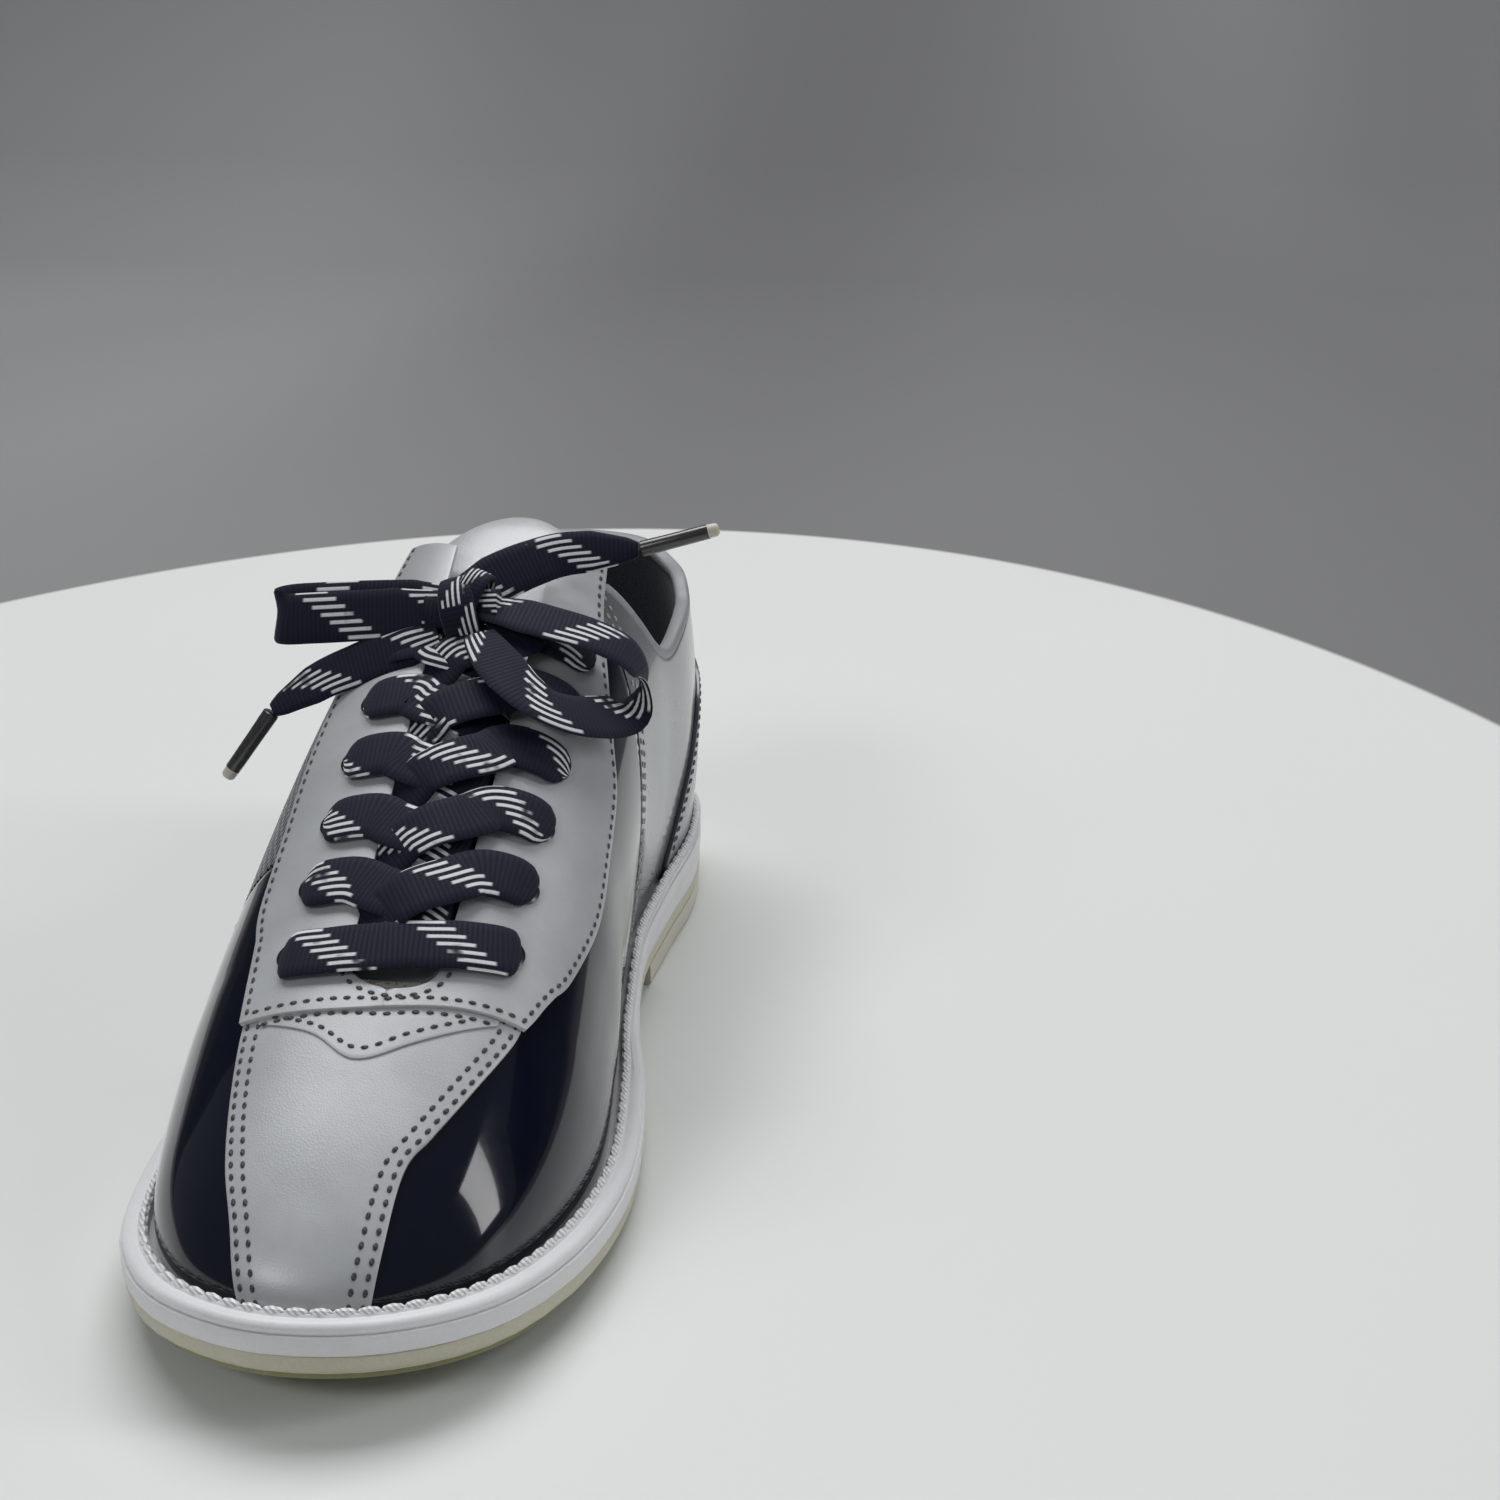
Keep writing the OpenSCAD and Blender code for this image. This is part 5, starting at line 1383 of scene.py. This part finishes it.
class SHOE_OT_inside(bpy.types.Operator):
    """Linings, collar, tongue, footbed and the hidden stiffening"""
    bl_idname = "shoe.inside"
    bl_label = "Inside"

    def execute(self, context):
        dark = finish("lining_dark")
        top = flat([[-26, -64], [-13, -70], [0, -72], [13, -70], [26, -64]])
        toe = np.array([walk(-1 if g < 0 else 1, abs(g), 1) for g in (-92, -46, 0, 46, 92)])
        add(panel("vamp_lining_cloth", top, toe, 60, 30, LINING_LO, LINING_HI, finish("lining_light"), 0.2),
            "lining_light", "vamp_lining")
        high = [[94, 0.40], [120, 0.36], [146, 0.33], [170, 0.28], [188, 0.24], [203, 0.46], [214, 0.575],
                [236, 0.605], [264, 0.575], [300, 0.54]]
        add(panel("quarter_lining_cloth", both_sides(high, 0.525), both_sides([[g, 1] for g, _ in high], 1),
                  160, 30, LINING_LO, LINING_HI, dark, 0.2), "lining_dark", "quarter_lining")
        self.collar()
        self.tongue()
        cup = lambda share, y: 1.8 * (1 - np.abs(share) ** 2.5)
        low = 3.2 + 2 * CLEAR
        bed_low = lambda y: seat(y) + low
        bed_high = lambda y: bed_low(y) + 3.5 + 1.5 * ease((y / KL - 20) / 60)
        side = lambda y: reveal(y) - LINING_LO + 1
        rows = [[side, bed_high], [side, lambda y: bed_high(y) - 0.6], [side, bed_low]]
        layer("footbed_cloth", "footbed_fabric", "footbed", rows, cup=cup)
        for node, slot in (("shank", "shank_steel"), ("bottom_filler", "filler_cork"),
                           ("insole_board", "insole_fibre"), ("toe_puff", "stiffener"),
                           ("heel_stiffener", "stiffener"), ("eyelets", "eyelet_black")):
            material = finish(slot)
            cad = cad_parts[node]
            cad.data.materials.clear()
            cad.data.materials.append(material)
        return {"FINISHED"}

    def collar(self):
        rows = [[206, 0.51], [218, 0.59], [240, 0.6], [262, 0.575], [300, 0.54]]
        top = both_sides(rows, 0.53)
        low = both_sides([[g, w + 0.09] for g, w in rows], 0.62)
        foam = panel("collar_padding", top, low, 120, 12, STIFF_LO, STIFF_HI, finish("foam"), 0.4)
        add(foam, "foam", "collar_foam")
        path = np.vstack([walks(-1, TOPLINE), walks(1, TOPLINE[:-1][::-1])])
        flats = line_of(path, 200)
        centres = laid(flats, LINING_LO / 2)
        tangents = unit(np.gradient(centres, axis=0))
        normals = out_of(flats)
        up = np.cross(normals, tangents)
        up = up * np.sign(up[:, 2:3])
        bm = uv_mesh()
        ribbon(bm, centres + up * 1.2, up, normals, 3.4, -LINING_LO + 0.7, 0, 16)
        add(new_object("collar_edge", bm, finish("binding_grey"), sharp=80), "binding_grey",
            "collar_binding")

    def tongue(self):
        """A leather face and a cloth back that meet in a soft edge round the foam."""
        self.tongue_shell("tongue_face", 24, -84, 57, TONGUE_HI, 1, [finish("tongue_leather")] * 2,
                          "tongue_leather", "tongue")
        self.tongue_shell("tongue_back", 23, -66, 56.5, INNER_LO, -1, [finish("lining_dark")] * 2,
                          "lining_dark", "tongue_lining")
        pad = self.tongue_shell("tongue_padding", 21, -64, 55.5, FOAM_HI - 0.4, 0, [finish("foam")] * 2,
                                "foam", "tongue_foam")

    def tongue_shell(self, name, wide, y0, y1, off, side, materials, slot, node):
        """side is 1 for the face, -1 for the back and 0 for the foam between them."""
        middle = (TONGUE_HI + INNER_LO) / 2

        def place(s, t):
            x, v = 2 * s - 1, t
            rim = np.clip(1 - (1 - np.abs(x)) / 0.14, 0, 1) ** 2
            rim = np.maximum(rim, np.clip(1 - (1 - v) / 0.05, 0, 1) ** 2)
            height = lerp(off, middle + side * 0.5, rim * (1 if side else 0.6))
            return laid(tongue_flat(wide, y0, y1, x, v), height)

        bm = mapped_grid(40, 90, place, lambda s, t: (s * 0.046, t * 0.126))
        face_outwards(bm, away_from_inside)
        if side < 0:
            bmesh.ops.reverse_faces(bm, faces=bm.faces)
        piece = new_object(name, bm, materials)
        thick = 0.9 if side else TONGUE_FOAM_T * 0.8
        solid = piece.modifiers.new("thickness", "SOLIDIFY")
        solid.thickness = thick * MM
        solid.offset = -1
        return add(piece, slot, node)


class SHOE_PT_panel(bpy.types.Panel):
    """Steps and settings of the shoe"""
    bl_label = "Bowling shoe"
    bl_idname = "SHOE_PT_panel"
    bl_space_type = "VIEW_3D"
    bl_region_type = "UI"
    bl_category = "Shoe"

    def draw(self, context):
        for group in (context.scene.shoe_look, context.scene.stage_look):
            for key in group.__annotations__:
                self.layout.prop(group, key)
        for step in STEPS:
            self.layout.operator("shoe." + step)


STEPS = ["stage", "bow", "lace", "sole", "upper", "seams", "inside"]
CLASSES = [ShoeLook, StageLook, SHOE_OT_stage, SHOE_OT_bow, SHOE_OT_lace, SHOE_OT_sole, SHOE_OT_upper,
           SHOE_OT_seams, SHOE_OT_inside, SHOE_PT_panel]


def register():
    for cls in CLASSES:
        bpy.utils.register_class(cls)
    bpy.types.Scene.shoe_look = bpy.props.PointerProperty(type=ShoeLook)
    bpy.types.Scene.stage_look = bpy.props.PointerProperty(type=StageLook)


def unregister():
    del bpy.types.Scene.stage_look
    del bpy.types.Scene.shoe_look
    for cls in reversed(CLASSES):
        bpy.utils.unregister_class(cls)


def main():
    register()
    for step in STEPS:
        getattr(bpy.ops.shoe, step)()


if __name__ == "__main__":
    main()
